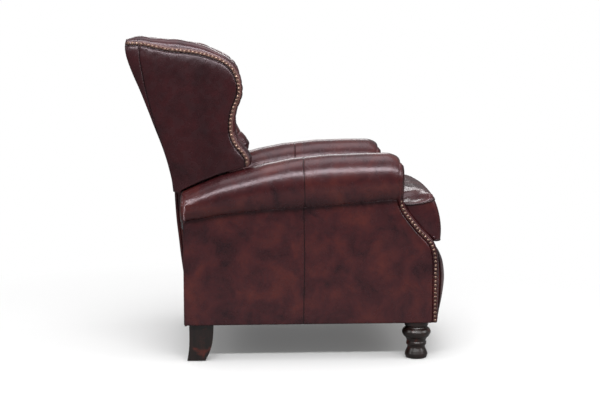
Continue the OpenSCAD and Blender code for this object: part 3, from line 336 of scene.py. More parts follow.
def probe(node):
    """A function for the depth of a node's surface at a place, seen from the front (1) or the rear (-1)."""
    shape = merged(node)
    tree = BVHTree.FromBMesh(shape)
    shape.free()

    def depth(x, z, way=1, missed=1.0):
        hit = tree.ray_cast(Vector((x, -way, z)), Vector((0, way, 0)))[0]
        return missed if hit is None else hit.y
    return depth


def outer_face(side):
    return lambda normal: normal.x * side > 0.99


def front_face(normal):
    return normal.y < -0.3 and abs(normal.x) < 0.3


# Meshes
def piece(name, part, body, slot, replaced=(), material=None, smooth=True):
    """A new object that rides on a body: part is its vertices, its faces and, if it has one, its shade."""
    verts, faces, *shade = part
    mesh = bpy.data.meshes.new(name)
    mesh.from_pydata([tuple(map(float, v)) for v in verts], [], [tuple(map(int, f)) for f in faces])
    mesh.validate()
    if shade:
        values = mesh.attributes.new("shade", "FLOAT", "POINT").data
        values.foreach_set("value", np.asarray(shade[0], np.float32))
    mesh.polygons.foreach_set("use_smooth", [smooth] * len(mesh.polygons))
    mesh.materials.append(material or MATERIALS[slot])
    thing = new_object(name, mesh)
    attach(thing, body)
    if replaced:
        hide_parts(*replaced)
    return thing


def cover(name, part, body, slot, replaced=(), material=None, smooth=True):
    """A closed piece with its faces turned outward."""
    thing = piece(name, part, body, slot, replaced, material, smooth)
    shape = bmesh.new()
    shape.from_mesh(thing.data)
    bmesh.ops.recalc_face_normals(shape, faces=shape.faces)
    shape.to_mesh(thing.data)
    shape.free()
    return thing


def moved_points(thing, points):
    thing.data.vertices.foreach_set("co", points.ravel())
    thing.data.update()


def joined(parts):
    """Vertices, faces and shade of several meshes as one."""
    verts, faces, shade, at = [], [], [], 0
    for points, quads, *painted_shade_and_pale_strip in parts:
        verts.append(np.asarray(points, float))
        faces += [tuple(i + at for i in face) for face in quads]
        shade.append(painted_shade_and_pale_strip[0] if painted_shade_and_pale_strip else np.zeros(len(points)))
        at += len(points)
    return np.concatenate(verts), faces, np.concatenate(shade)


def doubled(front, rear, faces):
    """Vertices and faces of a front and a rear sheet of like points, closed along their border."""
    count = len(front)
    used = dict.fromkeys((a, b) for face in faces for a, b in zip(face, face[1:] + face[:1]))
    border = [(b, a, a + count, b + count) for a, b in used if (b, a) not in used]
    back = [tuple(i + count for i in reversed(face)) for face in faces]
    return np.concatenate([front, rear]), faces + back + border


def grid_faces(rows, cols, closed=False):
    """Quads of a grid of rows times cols points, closed across its columns if asked."""
    last = cols if closed else cols - 1
    return [(r * cols + c, r * cols + (c + 1) % cols, (r + 1) * cols + (c + 1) % cols, (r + 1) * cols + c)
            for r in range(rows - 1) for c in range(last)]


def tube_faces(rows, sides):
    """Faces of a tube of rows of sides points, with a cap on each end."""
    last = (rows - 1) * sides
    return grid_faces(rows, sides, True) + [tuple(range(sides))[::-1], tuple(last + k for k in range(sides))]


def unit(vectors):
    return vectors / (np.linalg.norm(vectors, axis=1)[:, None] + 1e-12)


def left_of(directions):
    return np.stack([-directions[:, 1], directions[:, 0]], 1)


def with_third(flat, value):
    return np.column_stack([flat, np.full(len(flat), float(value))])


def ordered(points, axis):
    return points[np.argsort(points[:, axis])]


def runs(path):
    """Distance along a path at each of its points."""
    return np.concatenate([[0], np.cumsum(np.linalg.norm(np.diff(path, axis=0), axis=1))])


def resampled(path, step, closed=False):
    """A path with even steps, no longer than step."""
    path = np.asarray(path, float)
    if closed:
        path = np.vstack([path, path[:1]])
    at = runs(path)
    marks = np.linspace(0, at[-1], max(int(math.ceil(at[-1] / step)), 2) + 1)
    found = np.stack([np.interp(marks, at, path[:, k]) for k in range(path.shape[1])], 1)
    return found[:-1] if closed else found


def smoothed(path, rounds=2, closed=False):
    path = np.asarray(path, float).copy()
    for _ in range(rounds):
        mixed = path * 0.5 + (np.roll(path, -1, 0) + np.roll(path, 1, 0)) * 0.25
        if closed:
            path = mixed
        else:
            path[1:-1] = mixed[1:-1]
    return path


def smoothed_grid(points, rows, cols, rounds):
    grid = points.reshape(rows, cols, 3).copy()
    for _ in range(rounds):
        inner = (grid[:-2, 1:-1] + grid[2:, 1:-1] + grid[1:-1, :-2] + grid[1:-1, 2:]) / 4
        grid[1:-1, 1:-1] = grid[1:-1, 1:-1] * 0.4 + inner * 0.6
    return grid.reshape(-1, 3)


def sweep(path, radius, sides=8, closed=False):
    """A tube round a path."""
    path = np.asarray(path, float)
    along = unit(np.roll(path, -1, 0) - np.roll(path, 1, 0) if closed else np.gradient(path, axis=0))
    normal = Vector(along[0]).orthogonal().normalized()
    verts = []
    for point, direction in zip(path, map(Vector, along)):
        normal = (normal - direction * normal.dot(direction)).normalized()
        other = direction.cross(normal)
        for k in range(sides):
            a = 2 * math.pi * k / sides
            verts.append(tuple(Vector(point) + (normal * math.cos(a) + other * math.sin(a)) * radius))
    verts = np.array(verts)
    if not closed:
        return verts, tube_faces(len(path), sides)
    base = (len(path) - 1) * sides
    turn = min(range(sides), key=lambda k: np.linalg.norm(verts[k] - verts[base]))
    return verts, grid_faces(len(path), sides, True) + [
        (base + k, base + (k + 1) % sides, (k + 1 + turn) % sides, (k + turn) % sides) for k in range(sides)]


# Distances and profiles across a sheet
def edge_distance(points, outline):
    """Distance of points in a plane from a closed outline, and which of them lie inside it."""
    a, b = outline, np.roll(outline, -1, 0)
    ab = b - a
    length = (ab ** 2).sum(1) + 1e-18
    nearest = np.full(len(points), np.inf)
    inside = np.zeros(len(points), bool)
    for k in range(len(a)):
        t = np.clip(((points - a[k]) @ ab[k]) / length[k], 0, 1)
        nearest = np.minimum(nearest, np.linalg.norm(points - (a[k] + t[:, None] * ab[k]), axis=1))
        crosses = (a[k, 1] > points[:, 1]) != (b[k, 1] > points[:, 1])
        at = a[k, 0] + (points[:, 1] - a[k, 1]) / (ab[k, 1] if abs(ab[k, 1]) > 1e-15 else 1e-15) * ab[k, 0]
        inside ^= crosses & (points[:, 0] < at)
    return nearest, inside


def line_distance(points, line):
    """Distance of points in a plane from an open line."""
    nearest = np.full(len(points), np.inf)
    for a, b in zip(line[:-1], line[1:]):
        ab = b - a
        t = np.clip(((points - a) @ ab) / (ab @ ab + 1e-18), 0, 1)
        nearest = np.minimum(nearest, np.linalg.norm(points - (a + t[:, None] * ab), axis=1))
    return nearest


def rough_at(points, size, seed=0.0):
    """Smooth noise from about -1 to 1 at points, with features of the given size."""
    shift = Vector((seed * 3.1, seed * 1.7, seed * 2.3))
    return np.array([noise.noise(Vector(p) / size + shift) for p in points])


def rounded(distance, reach):
    """Rise from 0 at the edge to 1 at reach, round as a quarter circle."""
    return np.sqrt(1 - (1 - np.clip(distance / reach, 0, 1)) ** 2)


def bell(distance, width):
    return np.exp(-(distance / width) ** 2)


def gathers(phase, sharp, rest):
    """Creases that repeat along a phase, less their rest height."""
    return np.abs(np.sin(phase)) ** sharp - rest


def level(outline, slope):
    """Which points of a closed outline lie where it is flatter than a slope."""
    along = np.roll(outline, -1, 0) - np.roll(outline, 1, 0)
    return np.abs(along[:, 1]) < slope * np.abs(along[:, 0])


def filled(outline, step, insets, seams=()):
    """Triangulated inside of an outline, with rows beside its seams, and each point's edge distance."""
    ahead = np.roll(outline, -1, 0)
    area = (outline[:, 0] * ahead[:, 1] - outline[:, 1] * ahead[:, 0]).sum() / 2
    inward = left_of(unit(ahead - np.roll(outline, 1, 0))) * (1 if area > 0 else -1)
    points = []
    for inset in insets:
        ring = outline + inward * inset
        distance, inside = edge_distance(ring, outline)
        points.append(ring[inside & (distance > inset * 0.93)])
    low, high = outline.min(0), outline.max(0)
    grid = np.array([(x + (step / 2 if j % 2 else 0), y)
                     for j, y in enumerate(np.arange(low[1], high[1], step * math.sqrt(0.75)))
                     for x in np.arange(low[0], high[0], step)])
    distance, inside = edge_distance(grid, outline)
    grid = grid[inside & (distance > max(insets) + step * 0.6)]
    beside_seam = 9 * MM
    for seam in seams:
        line = resampled(seam, 4 * MM)
        beside = left_of(unit(np.gradient(line, axis=0)))
        points = [p[line_distance(p, line) > beside_seam] for p in points]
        grid = grid[line_distance(grid, line) > beside_seam + step * 0.4]
        for offset in SEAM_ROWS:
            row = line + beside * offset
            distance, inside = edge_distance(row, outline)
            points.append(row[inside & (distance > 1 * MM)])
    points = np.concatenate([outline] + points + [grid])
    ring = [(i, (i + 1) % len(outline)) for i in range(len(outline))]
    result = geometry.delaunay_2d_cdt([Vector(p) for p in points], ring, [], 1, 1e-7)
    verts = np.array([tuple(v) for v in result[0]])
    return verts, [tuple(f) for f in result[2]], edge_distance(verts, outline)[0]


class Flat:
    """A plane through origin with an axis across it and an outward normal; its second axis is up."""

    def __init__(self, origin, across, normal):
        self.origin, self.across, self.normal = (np.array(v, float) for v in (origin, across, normal))

    def to_plane(self, points):
        return np.stack([(points - self.origin) @ self.across, points[:, 2]], 1)

    def place(self, flat, height):
        base = self.origin[None, :] + flat[:, :1] * self.across
        base[:, 2] = flat[:, 1]
        return base + self.normal * np.asarray(height)[:, None]


class Curved:
    """A sheet across the chair that follows a profile of (y, z), seen along Y; front is -1 or 1."""

    def __init__(self, profile, front):
        profile = ordered(profile, 1)
        keep = np.concatenate([[True], np.diff(profile[:, 1]) > 0.2 * MM])
        self.y, self.z = profile[keep].T
        self.front = front

    def to_plane(self, points):
        return np.stack([points[:, 0], points[:, 2]], 1)

    def place(self, flat, height):
        z, reach = flat[:, 1], 4 * MM
        ahead, behind = (np.interp(z + way * reach, self.z, self.y) for way in (1, -1))
        slope = (ahead - behind) / (2 * reach)
        lift = self.front * np.asarray(height) / np.sqrt(1 + slope ** 2)
        return np.stack([flat[:, 0], np.interp(z, self.z, self.y) + lift, z - slope * lift], 1)


def panel(sheet, outline, height, step, insets, depth, shade=None, seams=()):
    """A closed upholstered panel on a sheet: its face at height(distance, flat), its back at -depth."""
    flat, faces, distance = filled(outline, step, insets, seams)
    face, back = (sheet.place(flat, lift) for lift in (height(distance, flat), np.full(len(flat), -depth)))
    verts, faces = doubled(face, back, faces)
    # Each point's painted shade from shade(distance, flat), kept on the face and the back; on the wing covers
    # it also marks the paler nailed strip.
    painted_shade_and_pale_strip = shade(distance, flat) if shade else np.zeros(len(flat))
    return verts, faces, np.concatenate([painted_shade_and_pale_strip, painted_shade_and_pale_strip])


def stitch_row(name, sheet, line, lift, body, pitch=5 * MM):
    """A row of sewn stitches along a line on a sheet."""
    marks = resampled(line, pitch)
    arch = np.array(mm(0.1, 0.5, 0.1)) + lift
    parts = []
    for a, b in zip(marks[:-1], marks[1:]):
        ends = np.array([a + (b - a) * 0.18, (a + b) / 2, a + (b - a) * 0.82])
        parts.append(sweep(sheet.place(ends, arch), 0.42 * MM, 6))
    piece(name, joined(parts), body, "leather_outer", material=WELT)


# Nails and buttons
def dome(radius, height, segments=14, rings=5):
    """A nail head on its own Z axis."""
    verts = []
    for r in range(rings):
        rise = math.pi / 2 * r / rings
        out, up = radius * math.cos(rise), height * math.sin(rise)
        turns = [2 * math.pi * s / segments for s in range(segments)]
        verts += [(out * math.cos(turn), out * math.sin(turn), up) for turn in turns]
    verts.append((0, 0, height))
    last = (rings - 1) * segments
    faces = grid_faces(rings, segments, True)
    faces += [(last + s, last + (s + 1) % segments, rings * segments) for s in range(segments)]
    return np.array(verts), faces + [tuple(range(segments))[::-1]]


def turned(verts, place, normal, spin):
    """Vertices moved so that their Z axis points along normal."""
    turn = Vector(normal).to_track_quat("Z", "Y").to_matrix() @ Matrix.Rotation(spin, 3, "Z")
    return verts @ np.array(turn).T + np.asarray(place)


def make_nails(node, body, normal_of, seed):
    random.seed(seed)
    head, faces = dome(5.2 * MM, 3.2 * MM)
    parts = []
    for verts in islands(node):
        centre = verts.mean(0)
        normal = np.array(normal_of(centre), float)
        lean = Vector((0, random.uniform(-0.07, 0.07), random.uniform(-0.07, 0.07)))
        base = centre - normal * ((centre - verts) @ normal).max()
        size = random.uniform(0.96, 1.03)
        axis = (Vector(normal) + lean).normalized()
        parts.append((turned(head * size, base, axis, random.uniform(0, 6)), faces))
    piece(node.replace("nails", "nail_heads"), joined(parts), body, "nail_brass", [node])


def make_buttons():
    random.seed(8)
    head, faces = dome(11 * MM, 5.5 * MM, 18, 6)
    head[:, 2] -= 1 * MM
    sunk = 3 * MM
    parts = []
    for verts in islands("tuft_buttons"):
        centre = verts.mean(0)
        offset = verts - centre
        axis = np.linalg.eigh(offset.T @ offset)[1][:, 0]
        normal = axis if axis[1] < 0 else -axis
        parts.append((turned(head, centre - normal * sunk, normal, random.uniform(0, 6)), faces))
    piece("covered_buttons", joined(parts), "back", "leather_inner", ["tuft_buttons"])


# Arms: the numbers in a height() or a sum of reliefs are millimetres, and MM turns them into metres
def make_side_cover(side):
    """One flat panel of leather with a sewn seam, turned under along its edges."""
    name = SIDE_NAMES[side]
    node = "side_cover_" + name
    edge = rim(node, outer_face(side))
    sheet = Flat((edge[0][0], 0, 0), (0, 1, 0), (side, 0, 0))
    outline = resampled(sheet.to_plane(edge), 7 * MM, True)
    low_z = outline[:, 1].min()
    rise = np.linspace(low_z - 5 * MM, outline[:, 1].max(), 60)
    seam_line = np.column_stack([SIDE_SEAM_Y + 1.5 * MM * np.sin(rise * 14), rise])
    upper = ordered(outline[outline[:, 1] > ARM_UNDER_Z], 0)
    ahead_y = -330 * MM
    front = ordered(outline[(outline[:, 0] < ahead_y) & (outline[:, 1] > low_z + 2 * MM)], 1)
    front = smoothed(front[:-1], 3)
    outline[level(outline, 0.8) & (outline[:, 1] > ARM_UNDER_Z), 1] += 7 * MM

    def height(distance, flat):
        points = with_third(flat, 0.3 * side)
        seam, nailed = line_distance(flat, seam_line), line_distance(flat, front)
        puff = 2.4 * rounded(distance, 45 * MM) * (0.6 + 0.4 * rounded(seam, 50 * MM))
        waves = 0.9 * rough_at(points, 0.16, 3) + 0.35 * rough_at(points, 0.05, 7)
        pulls = 0.5 * bell(seam, 16 * MM) * rough_at(points * [0.2, 1, 1], 0.018, 5)
        sag = bell(flat[:, 1] - low_z - 30 * MM, 30 * MM) * rough_at(points, 0.09, 11)
        ridge = 2.4 * rounded(nailed, 16 * MM) * bell(nailed, 80 * MM)
        inner = waves * rounded(distance, 30 * MM) + pulls + sag - 1.9 * bell(seam, SEAM_GROOVE) + ridge
        return (puff + inner - 2.4 * (1 - rounded(distance, 4 * MM))) * MM

    # Painted shade: darker in the seam's groove and in a band just under the arm roll, where the roll shades
    # the cover.
    def painted_shade_and_pale_strip(distance, flat):
        under_roll = np.interp(flat[:, 0], upper[:, 0], upper[:, 1]) - flat[:, 1]
        seam = line_distance(flat, seam_line)
        return np.clip(0.95 * bell(seam, SEAM_SHADE) + 0.8 * bell(under_roll, 9 * MM), 0, 1)

    part = panel(sheet, outline, height, 10 * MM, mm(1.2, 3, 6, 10), 6 * MM, painted_shade_and_pale_strip, [seam_line])
    cover("side_leather_" + name, part, "base", "leather_outer", [node])
    stitch_y = SIDE_SEAM_Y + 6 * MM
    stitches = np.array([[stitch_y, low_z + 4 * MM], [stitch_y, outline[:, 1].max() - 30 * MM]])
    stitch_row("side_stitch_" + name, sheet, stitches, 1.3 * MM, "base")


def arm_ridge(side):
    """Depths and heights of the line along the top of an arm."""
    node = "arm_roll_" + SIDE_NAMES[side]
    verts = np.array([v.co for v in frame["nodes"][node].data.vertices])
    low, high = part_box(node)
    middle_x, above_z = (low.x + high.x) / 2, 540 * MM
    ridge = verts[(np.abs(verts[:, 0] - middle_x) < 0.3 * MM) & (verts[:, 2] > above_z)]
    return ordered(ridge, 1)[:, 1:].T


def make_arm_roll(side):
    """The leather round an arm's roll, rounded at both ends and gathered at the rear."""
    name = SIDE_NAMES[side]
    node = "arm_roll_" + name
    low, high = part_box(node)
    ys, tops = arm_ridge(side)
    edge = rim("side_cover_" + name, outer_face(side))
    under_y, under_z = ordered(edge[edge[:, 2] > ARM_UNDER_Z], 1)[:, 1:].T
    half_w, mid_x, out_x = (high.x - low.x) / 2, abs(high.x + low.x) / 2, abs(edge[0][0])
    front_y, rear_y = low.y - 9 * MM, high.y
    end_round, rear_in, nose_in = mm(12, 4.5, 4.5)
    around = 72
    quarter = np.linspace(0, math.pi / 2, 7)
    stations = np.arange(front_y + end_round, rear_y - end_round, 7 * MM)
    stations = np.sort(np.concatenate([
        front_y + end_round * (1 - np.cos(quarter[:-1])), stations[np.abs(stations - SIDE_SEAM_Y) > 11 * MM],
        SIDE_SEAM_Y + np.array(SEAM_ROWS), rear_y - end_round + end_round * np.sin(quarter)]))
    turn = 2 * math.pi * np.arange(around) / around
    rings = []
    for y in stations:
        a = half_w - rear_in * (y - front_y) / (rear_y - front_y)
        top = np.interp(y, ys, tops)
        reach = math.sqrt(1 - min((out_x - mid_x) / a, 0.95) ** 2)
        b = (top - np.interp(y, under_y, under_z)) / (1 + reach)
        shrink = end_round * (1 - rounded(rear_y - y, end_round))
        shrink += nose_in * (1 - rounded(y - front_y, end_round))
        rings.append(np.column_stack([mid_x + (a - shrink) * np.cos(turn), np.full(around, y),
                                      top - b + (b - shrink) * np.sin(turn)]))
    points = np.concatenate(rings)
    angle = np.tile(turn, len(stations))
    along = points[:, 1].copy()
    seam = np.abs(along - SIDE_SEAM_Y)
    waves = 0.8 * rough_at(points * [1, 0.5, 1], 0.11, 2 + side) + 0.12 * rough_at(points, 0.04, 5)
    rear_phase = angle * 7 + 1.5 * rough_at(points, 0.05, 9)
    under_phase = along * 62 + 2 * rough_at(points, 0.08, 12)
    tucks = 3.2 * bell(rear_y - along, 50 * MM) * gathers(rear_phase, 0.5, 0.6)
    tucks += 0.9 * bell(along - front_y, 16 * MM) * gathers(angle * 11, 0.5, 0.7)
    tucks += 1.6 * bell(angle - 5.9, 0.5) * gathers(under_phase, 0.6, 0.6)
    lift = (waves + tucks - 2.0 * bell(seam, SEAM_GROOVE) - 0.6) * MM
    points += np.stack([np.cos(angle), np.zeros(len(angle)), np.sin(angle)], 1) * lift[:, None]
    points[:, 1] += 2 * MM * np.sin(angle * 2) * bell(seam, 40 * MM)
    nose = np.clip(1 - (along - front_y) / (46 * MM), 0, 1) ** 2
    points[:, 2] -= ARM_NOSE_FALL * nose * np.clip(np.sin(angle), 0, 1)
    points[:, 0] *= side
    # Painted shade in the seam's groove and along the rear end, where the roll meets the back.
    painted_shade_and_pale_strip = np.clip(0.95 * bell(seam, SEAM_SHADE) + 0.35 * bell(rear_y - along, 3 * MM), 0, 1)
    part = points, tube_faces(len(stations), around), painted_shade_and_pale_strip
    cover("arm_roll_leather_" + name, part, "base", "leather_outer", [node])


def make_arm_front(side):
    """The nailed front of an arm, with a welt inside its edge."""
    node = "arm_front_" + SIDE_NAMES[side]
    edge = rim(node, front_face)
    sheet = Curved(edge[:, 1:], -1)
    outline = resampled(sheet.to_plane(edge), 6 * MM, True)
    welt_in = 6 * MM
    groove_in = welt_in + 2.5 * MM
    crest_z, crest_h, nose_z, nose_h = mm(550, 30, 570, 96)

    def height(distance, flat):
        puff = 4.5 * rounded(np.maximum(distance - welt_in, 0), 28 * MM)
        puff -= 3.4 * (1 - rounded(distance, 6 * MM))
        puff -= 8.0 * (1 - rounded(distance, 26 * MM)) * np.clip((flat[:, 1] - crest_z) / crest_h, 0, 1)
        waves = 0.5 * rough_at(with_third(flat, side), 0.05, 4)
        return (puff - 2.0 * bell(distance - groove_in, 1.8 * MM) + waves) * MM

    # Painted shade in the groove inside the welt.
    def painted_shade_and_pale_strip(distance, flat):
        return 0.7 * bell(distance - groove_in, 1.6 * MM)

    part = panel(sheet, outline, height, 8 * MM, mm(1.5, 3.5, 6, 8.5, 11, 15), 16.6 * MM, painted_shade_and_pale_strip)
    part[0][:, 2] -= ARM_NOSE_FALL * np.clip((part[0][:, 2] - nose_z) / nose_h, 0, 1) ** 1.4
    cover("arm_front_leather_" + SIDE_NAMES[side], part, "base", "leather_outer", [node])


def make_inner_arm_pad(side):
    node = "inner_arm_pad_" + SIDE_NAMES[side]
    edge = rim(node, outer_face(-side))
    sheet = Flat((edge[0][0], 0, 0), (0, 1, 0), (-side, 0, 0))
    outline = resampled(sheet.to_plane(edge), 9 * MM, True)

    def height(distance, flat):
        return (0.5 * rough_at(with_third(flat, side), 0.08, 6) - 1.2) * MM

    part = panel(sheet, outline, height, 14 * MM, mm(3), 4.6 * MM)
    cover("inner_arm_leather_" + SIDE_NAMES[side], part, "base", "leather_inner", [node])


def make_rear_covers():
    """Covers across the rear of the base, whose tops stand higher than the frame's."""
    def height(distance, flat):
        waves = 0.6 * rough_at(with_third(flat, 0), 0.09, 8) * rounded(distance, 20 * MM)
        return (2.2 * rounded(distance, 18 * MM) - 2.2 + waves) * MM

    halves = (lambda centre: centre.x > 0, lambda centre: centre.x < 0)
    for node, places, top_z, rise in (("rear_cover", (None,), 248 * MM, 14 * MM),
                                      ("arm_back_covers", halves, 443 * MM, 8 * MM)):
        parts = []
        for near in places:
            edge = rim(node, lambda n: n.y > 0.99, near)
            sheet = Flat((0, edge[0][1], 0), (1, 0, 0), (0, 1, 0))
            outline = resampled(sheet.to_plane(edge), 8 * MM, True)
            outline[outline[:, 1] > top_z, 1] += rise
            parts.append(panel(sheet, outline, height, 12 * MM, mm(2, 5), 9 * MM))
        cover(node + "_leather", joined(parts), "base", "leather_outer", [node])


# Wings
def wing_plane(side):
    """The sheet of a wing's outer face and the face's outline in it."""
    edge = rim("wing_cover_" + SIDE_NAMES[side], outer_face(side))
    low, high = edge[edge[:, 1].argmin()], edge[edge[:, 1].argmax()]
    across = np.array([high[0] - low[0], high[1] - low[1], 0])
    across /= np.linalg.norm(across)
    sheet = Flat((*low[:2], 0), across, np.array([across[1], -across[0], 0]) * side)
    return sheet, sheet.to_plane(edge)


def wing_front(outline):
    """The shaped edge of a wing, from the rear of its top round to its lower tip."""
    total = outline.sum(1)
    start, stop = int(total.argmax()), int(total.argmin())
    ways = [[(start + way * k) % len(outline) for k in range(way * (stop - start) % len(outline) + 1)]
            for way in (1, -1)]
    return outline[min(ways, key=lambda way: outline[way][:, 0].mean())]


def make_wing_cover(side):
    """Outer leather of a wing: a nailed strip round its shaped edge, a curved seam and a puffed middle."""
    node = "wing_cover_" + SIDE_NAMES[side]
    sheet, edge = wing_plane(side)
    outline = resampled(edge, 5 * MM, True)
    front = wing_front(outline)
    tip = front[-1]
    depth = sheet.origin[1] + outline[:, 0] * sheet.across[1]
    foot_z, arm_gap, most = mm(700, 5.5, 22)
    foot = level(outline, 0.75) & (outline[:, 1] < foot_z)
    drop = np.clip(outline[:, 1] - np.interp(depth, *arm_ridge(side)) - arm_gap, 0, most)
    outline[foot, 1] -= drop[foot]
    seam_shares = [(0.885, 0.955), (0.88, 0.86), (0.86, 0.775), (0.835, 0.66), (0.79, 0.50), (0.75, 0.385),
                   (0.71, 0.29), (0.665, 0.15)]
    seam_line = edge.min(0) + np.array(seam_shares) * (edge.max(0) - edge.min(0))
    seam_line = smoothed(resampled(seam_line, 6 * MM), 8)
    rear_x = np.interp(outline[:, 1], seam_line[::-1, 1], seam_line[::-1, 0])
    rear = outline[outline[:, 0] > rear_x + 6 * MM][::2]

    def height(distance, flat):
        points = with_third(flat, 0.7 * side)
        nailed, seam = line_distance(flat, front), line_distance(flat, seam_line)
        puff = 7.5 * rounded(np.maximum(nailed - NAIL_STRIP, 0), 60 * MM)
        puff *= 0.5 + 0.5 * rounded(seam, 50 * MM)
        puff -= 5.5 * (1 - rounded(np.linalg.norm(flat[:, None] - rear[None], axis=2).min(1), 24 * MM))
        spin = np.arctan2(flat[:, 1] - tip[1], flat[:, 0] - tip[0])
        near_tip = bell(np.linalg.norm(flat - tip, axis=1) - 34 * MM, 26 * MM)
        waves = 1.3 * rough_at(points, 0.16, 21) + 0.25 * rough_at(points, 0.05, 23)
        waves += 1.8 * near_tip * gathers(spin * 6 + 0.7, 0.5, 0.7)
        pulls = 0.9 * bell(nailed - NAIL_STRIP - 12 * MM, 14 * MM) * rough_at(points, 0.02, 25)
        strip = 1.2 * (1 - np.clip((nailed - NAIL_STRIP + 1.5 * MM) / (2 * MM), 0, 1))
        groove = 2.2 * bell(nailed - NAIL_STRIP, 1.6 * MM) + 1.9 * bell(seam, SEAM_GROOVE)
        edge_drop = 2.2 * (1 - rounded(distance, 5 * MM))
        return (puff + waves * rounded(distance, 40 * MM) + pulls + strip - groove - edge_drop) * MM

    # Painted shade in the groove beside the nailed strip and in the seam's groove; the nailed strip itself is
    # given a paler colour.
    def painted_shade_and_pale_strip(distance, flat):
        nailed, seam = line_distance(flat, front), line_distance(flat, seam_line)
        dark = np.clip(bell(nailed - NAIL_STRIP, 1.8 * MM) + 0.95 * bell(seam, SEAM_SHADE), 0, 1)
        return np.where(nailed < NAIL_STRIP - 2.5 * MM, -0.5, dark)

    insets = mm(1.5, 4, 8, 11.5, 13, 14.5, 16, 18, 22)
    part = panel(sheet, outline, height, 8 * MM, insets, 8.6 * MM, painted_shade_and_pale_strip, [seam_line])
    cover("wing_leather_" + SIDE_NAMES[side], part, "back", "leather_outer", [node], WING)


def tuck(at, marks):
    """Valleys at marks along a run, from 0 away from them to their size in them."""
    found = np.zeros_like(at)
    for mark, size, width in marks:
        found = np.maximum(found, size * np.exp(-(np.abs(at - mark) / width) ** 1.25))
    return found


def wing_pleats(side, at):
    """How deep the pleats are along a wing's edge: close together below, wide along the top."""
    rng = random.Random(40 + side)
    marks, mark, total = [], 26 * MM, at[-1]
    while mark < total - 12 * MM:
        top = np.interp(mark / total, [0.32, 0.45], [1, 0])
        marks.append((mark, rng.uniform(0.45, 1.0), (4.5 + 7 * top) * MM))
        mark += rng.uniform(17, 38) * MM * (1 + top)
    return tuck(at, marks)


def make_wing_pad(side, pad_front):
    """Inner wing padding that rolls over the nailed edge, gathered into pleats."""
    node = "wing_pad_" + SIDE_NAMES[side]
    sheet, outline = wing_plane(side)
    front = smoothed(resampled(wing_front(outline), 2.2 * MM), 12)
    at = runs(front)
    total = at[-1]
    pleat = wing_pleats(side, at)[:, None]
    inward = -left_of(unit(np.gradient(front, axis=0)))
    third = len(inward) // 3
    if (front.mean(0) - front[third]) @ inward[third] < 0:
        inward = -inward

    # The roll over the edge: how far inward and how far behind the outer face, from outside to inside
    profile = np.array([(9, 1.5), (3, 1.0), (-5, 3.5), (-10.5, 12), (-13, 24), (-12.5, 36), (-8, 48), (0, 57),
                        (12, 63)]) * MM
    across = np.linspace(0, 1, 26)
    knots = np.linspace(0, 1, len(profile))
    rim_in, rim_back = smoothed(np.stack([np.interp(across, knots, column) for column in profile.T], 1), 2).T
    fullness_shares = [(0.66, 0.8), (0.76, 0.8), (0.82, 0.35), (0.92, 0.3), (0.98, 0.9), (1.03, 1.25)]
    fullness = np.interp(front[:, 1], *np.array(fullness_shares).T) + 0.9 * bell(at - 170 * MM, 80 * MM)
    swell = 1 + 0.18 * rough_at(np.column_stack([at, at * 0, at * 0 + side]), 0.05, 31)
    ends = np.minimum(1, np.minimum(at / (30 * MM), (total - at) / (22 * MM)))[:, None]
    weight = np.sin(np.minimum(across * 1.1, 1) * math.pi / 2) ** 2
    out = np.where(rim_in > 0, rim_in, rim_in * (swell * fullness)[:, None] * (0.35 + 0.65 * ends))
    sunk = pleat * 4.2 * MM * weight * ends
    flat = front[:, None] + inward[:, None] * (out + sunk)[:, :, None]
    roll = np.dstack([flat, sunk * 0.4 * (np.arange(len(across)) > 14) - rim_back])

    # The inner face, from the roll to its join with the inner back
    share = (np.arange(22) + 1) / 22
    join_z = np.interp(at / total, [0, 0.2, 0.5, 0.8, 1], [1.028, 0.985, 0.86, 0.69, 0.60])
    join_x, sunk_in, last_y = mm(235, 34, 497)
    join = [(min(pad_front(join_x, z) + sunk_in, last_y) - sheet.origin[1], z) for z in join_z]
    base = front + inward * rim_in[-1]
    flat = base[:, None] + (smoothed(join, 30) - base)[:, None] * share[:, None]
    fade = np.maximum(0, 1 - share * 2.2)
    puff = 9 * MM * np.sin(math.pi * np.minimum(share * 1.15, 1)) ** 0.8
    inner = np.dstack([flat, pleat * 3.4 * MM * fade * ends - (rim_back[-1] + puff - 8 * MM * share ** 3)])

    # Two more columns close the piece behind its leather
    behind = np.full(len(front), -36 * MM)
    closing = np.stack([np.column_stack([inner[:, -1, :2], behind]),
                        np.column_stack([roll[:, 0, :2] + inward * 10 * MM, behind])], 1)
    grid = np.concatenate([roll, inner, closing], 1)
    # Painted shade in the deeper pleats, on the roll and fading across the inner face.
    deep = np.maximum(0, pleat - 0.5)
    shade = np.concatenate([0.55 * deep * weight * ends, 0.3 * deep * fade, np.zeros((len(front), 2))], 1)
    points = grid.reshape(-1, 3)
    relief = 1.0 * rough_at(points, 0.06, 33 + side) + 0.4 * rough_at(points, 0.025, 35)
    verts = sheet.place(points[:, :2], points[:, 2] - relief * MM * (points[:, 2] < -50 * MM))
    part = verts, tube_faces(*grid.shape[:2]), shade.ravel()
    cover("wing_padding_" + SIDE_NAMES[side], part, "back", "leather_inner", [node])


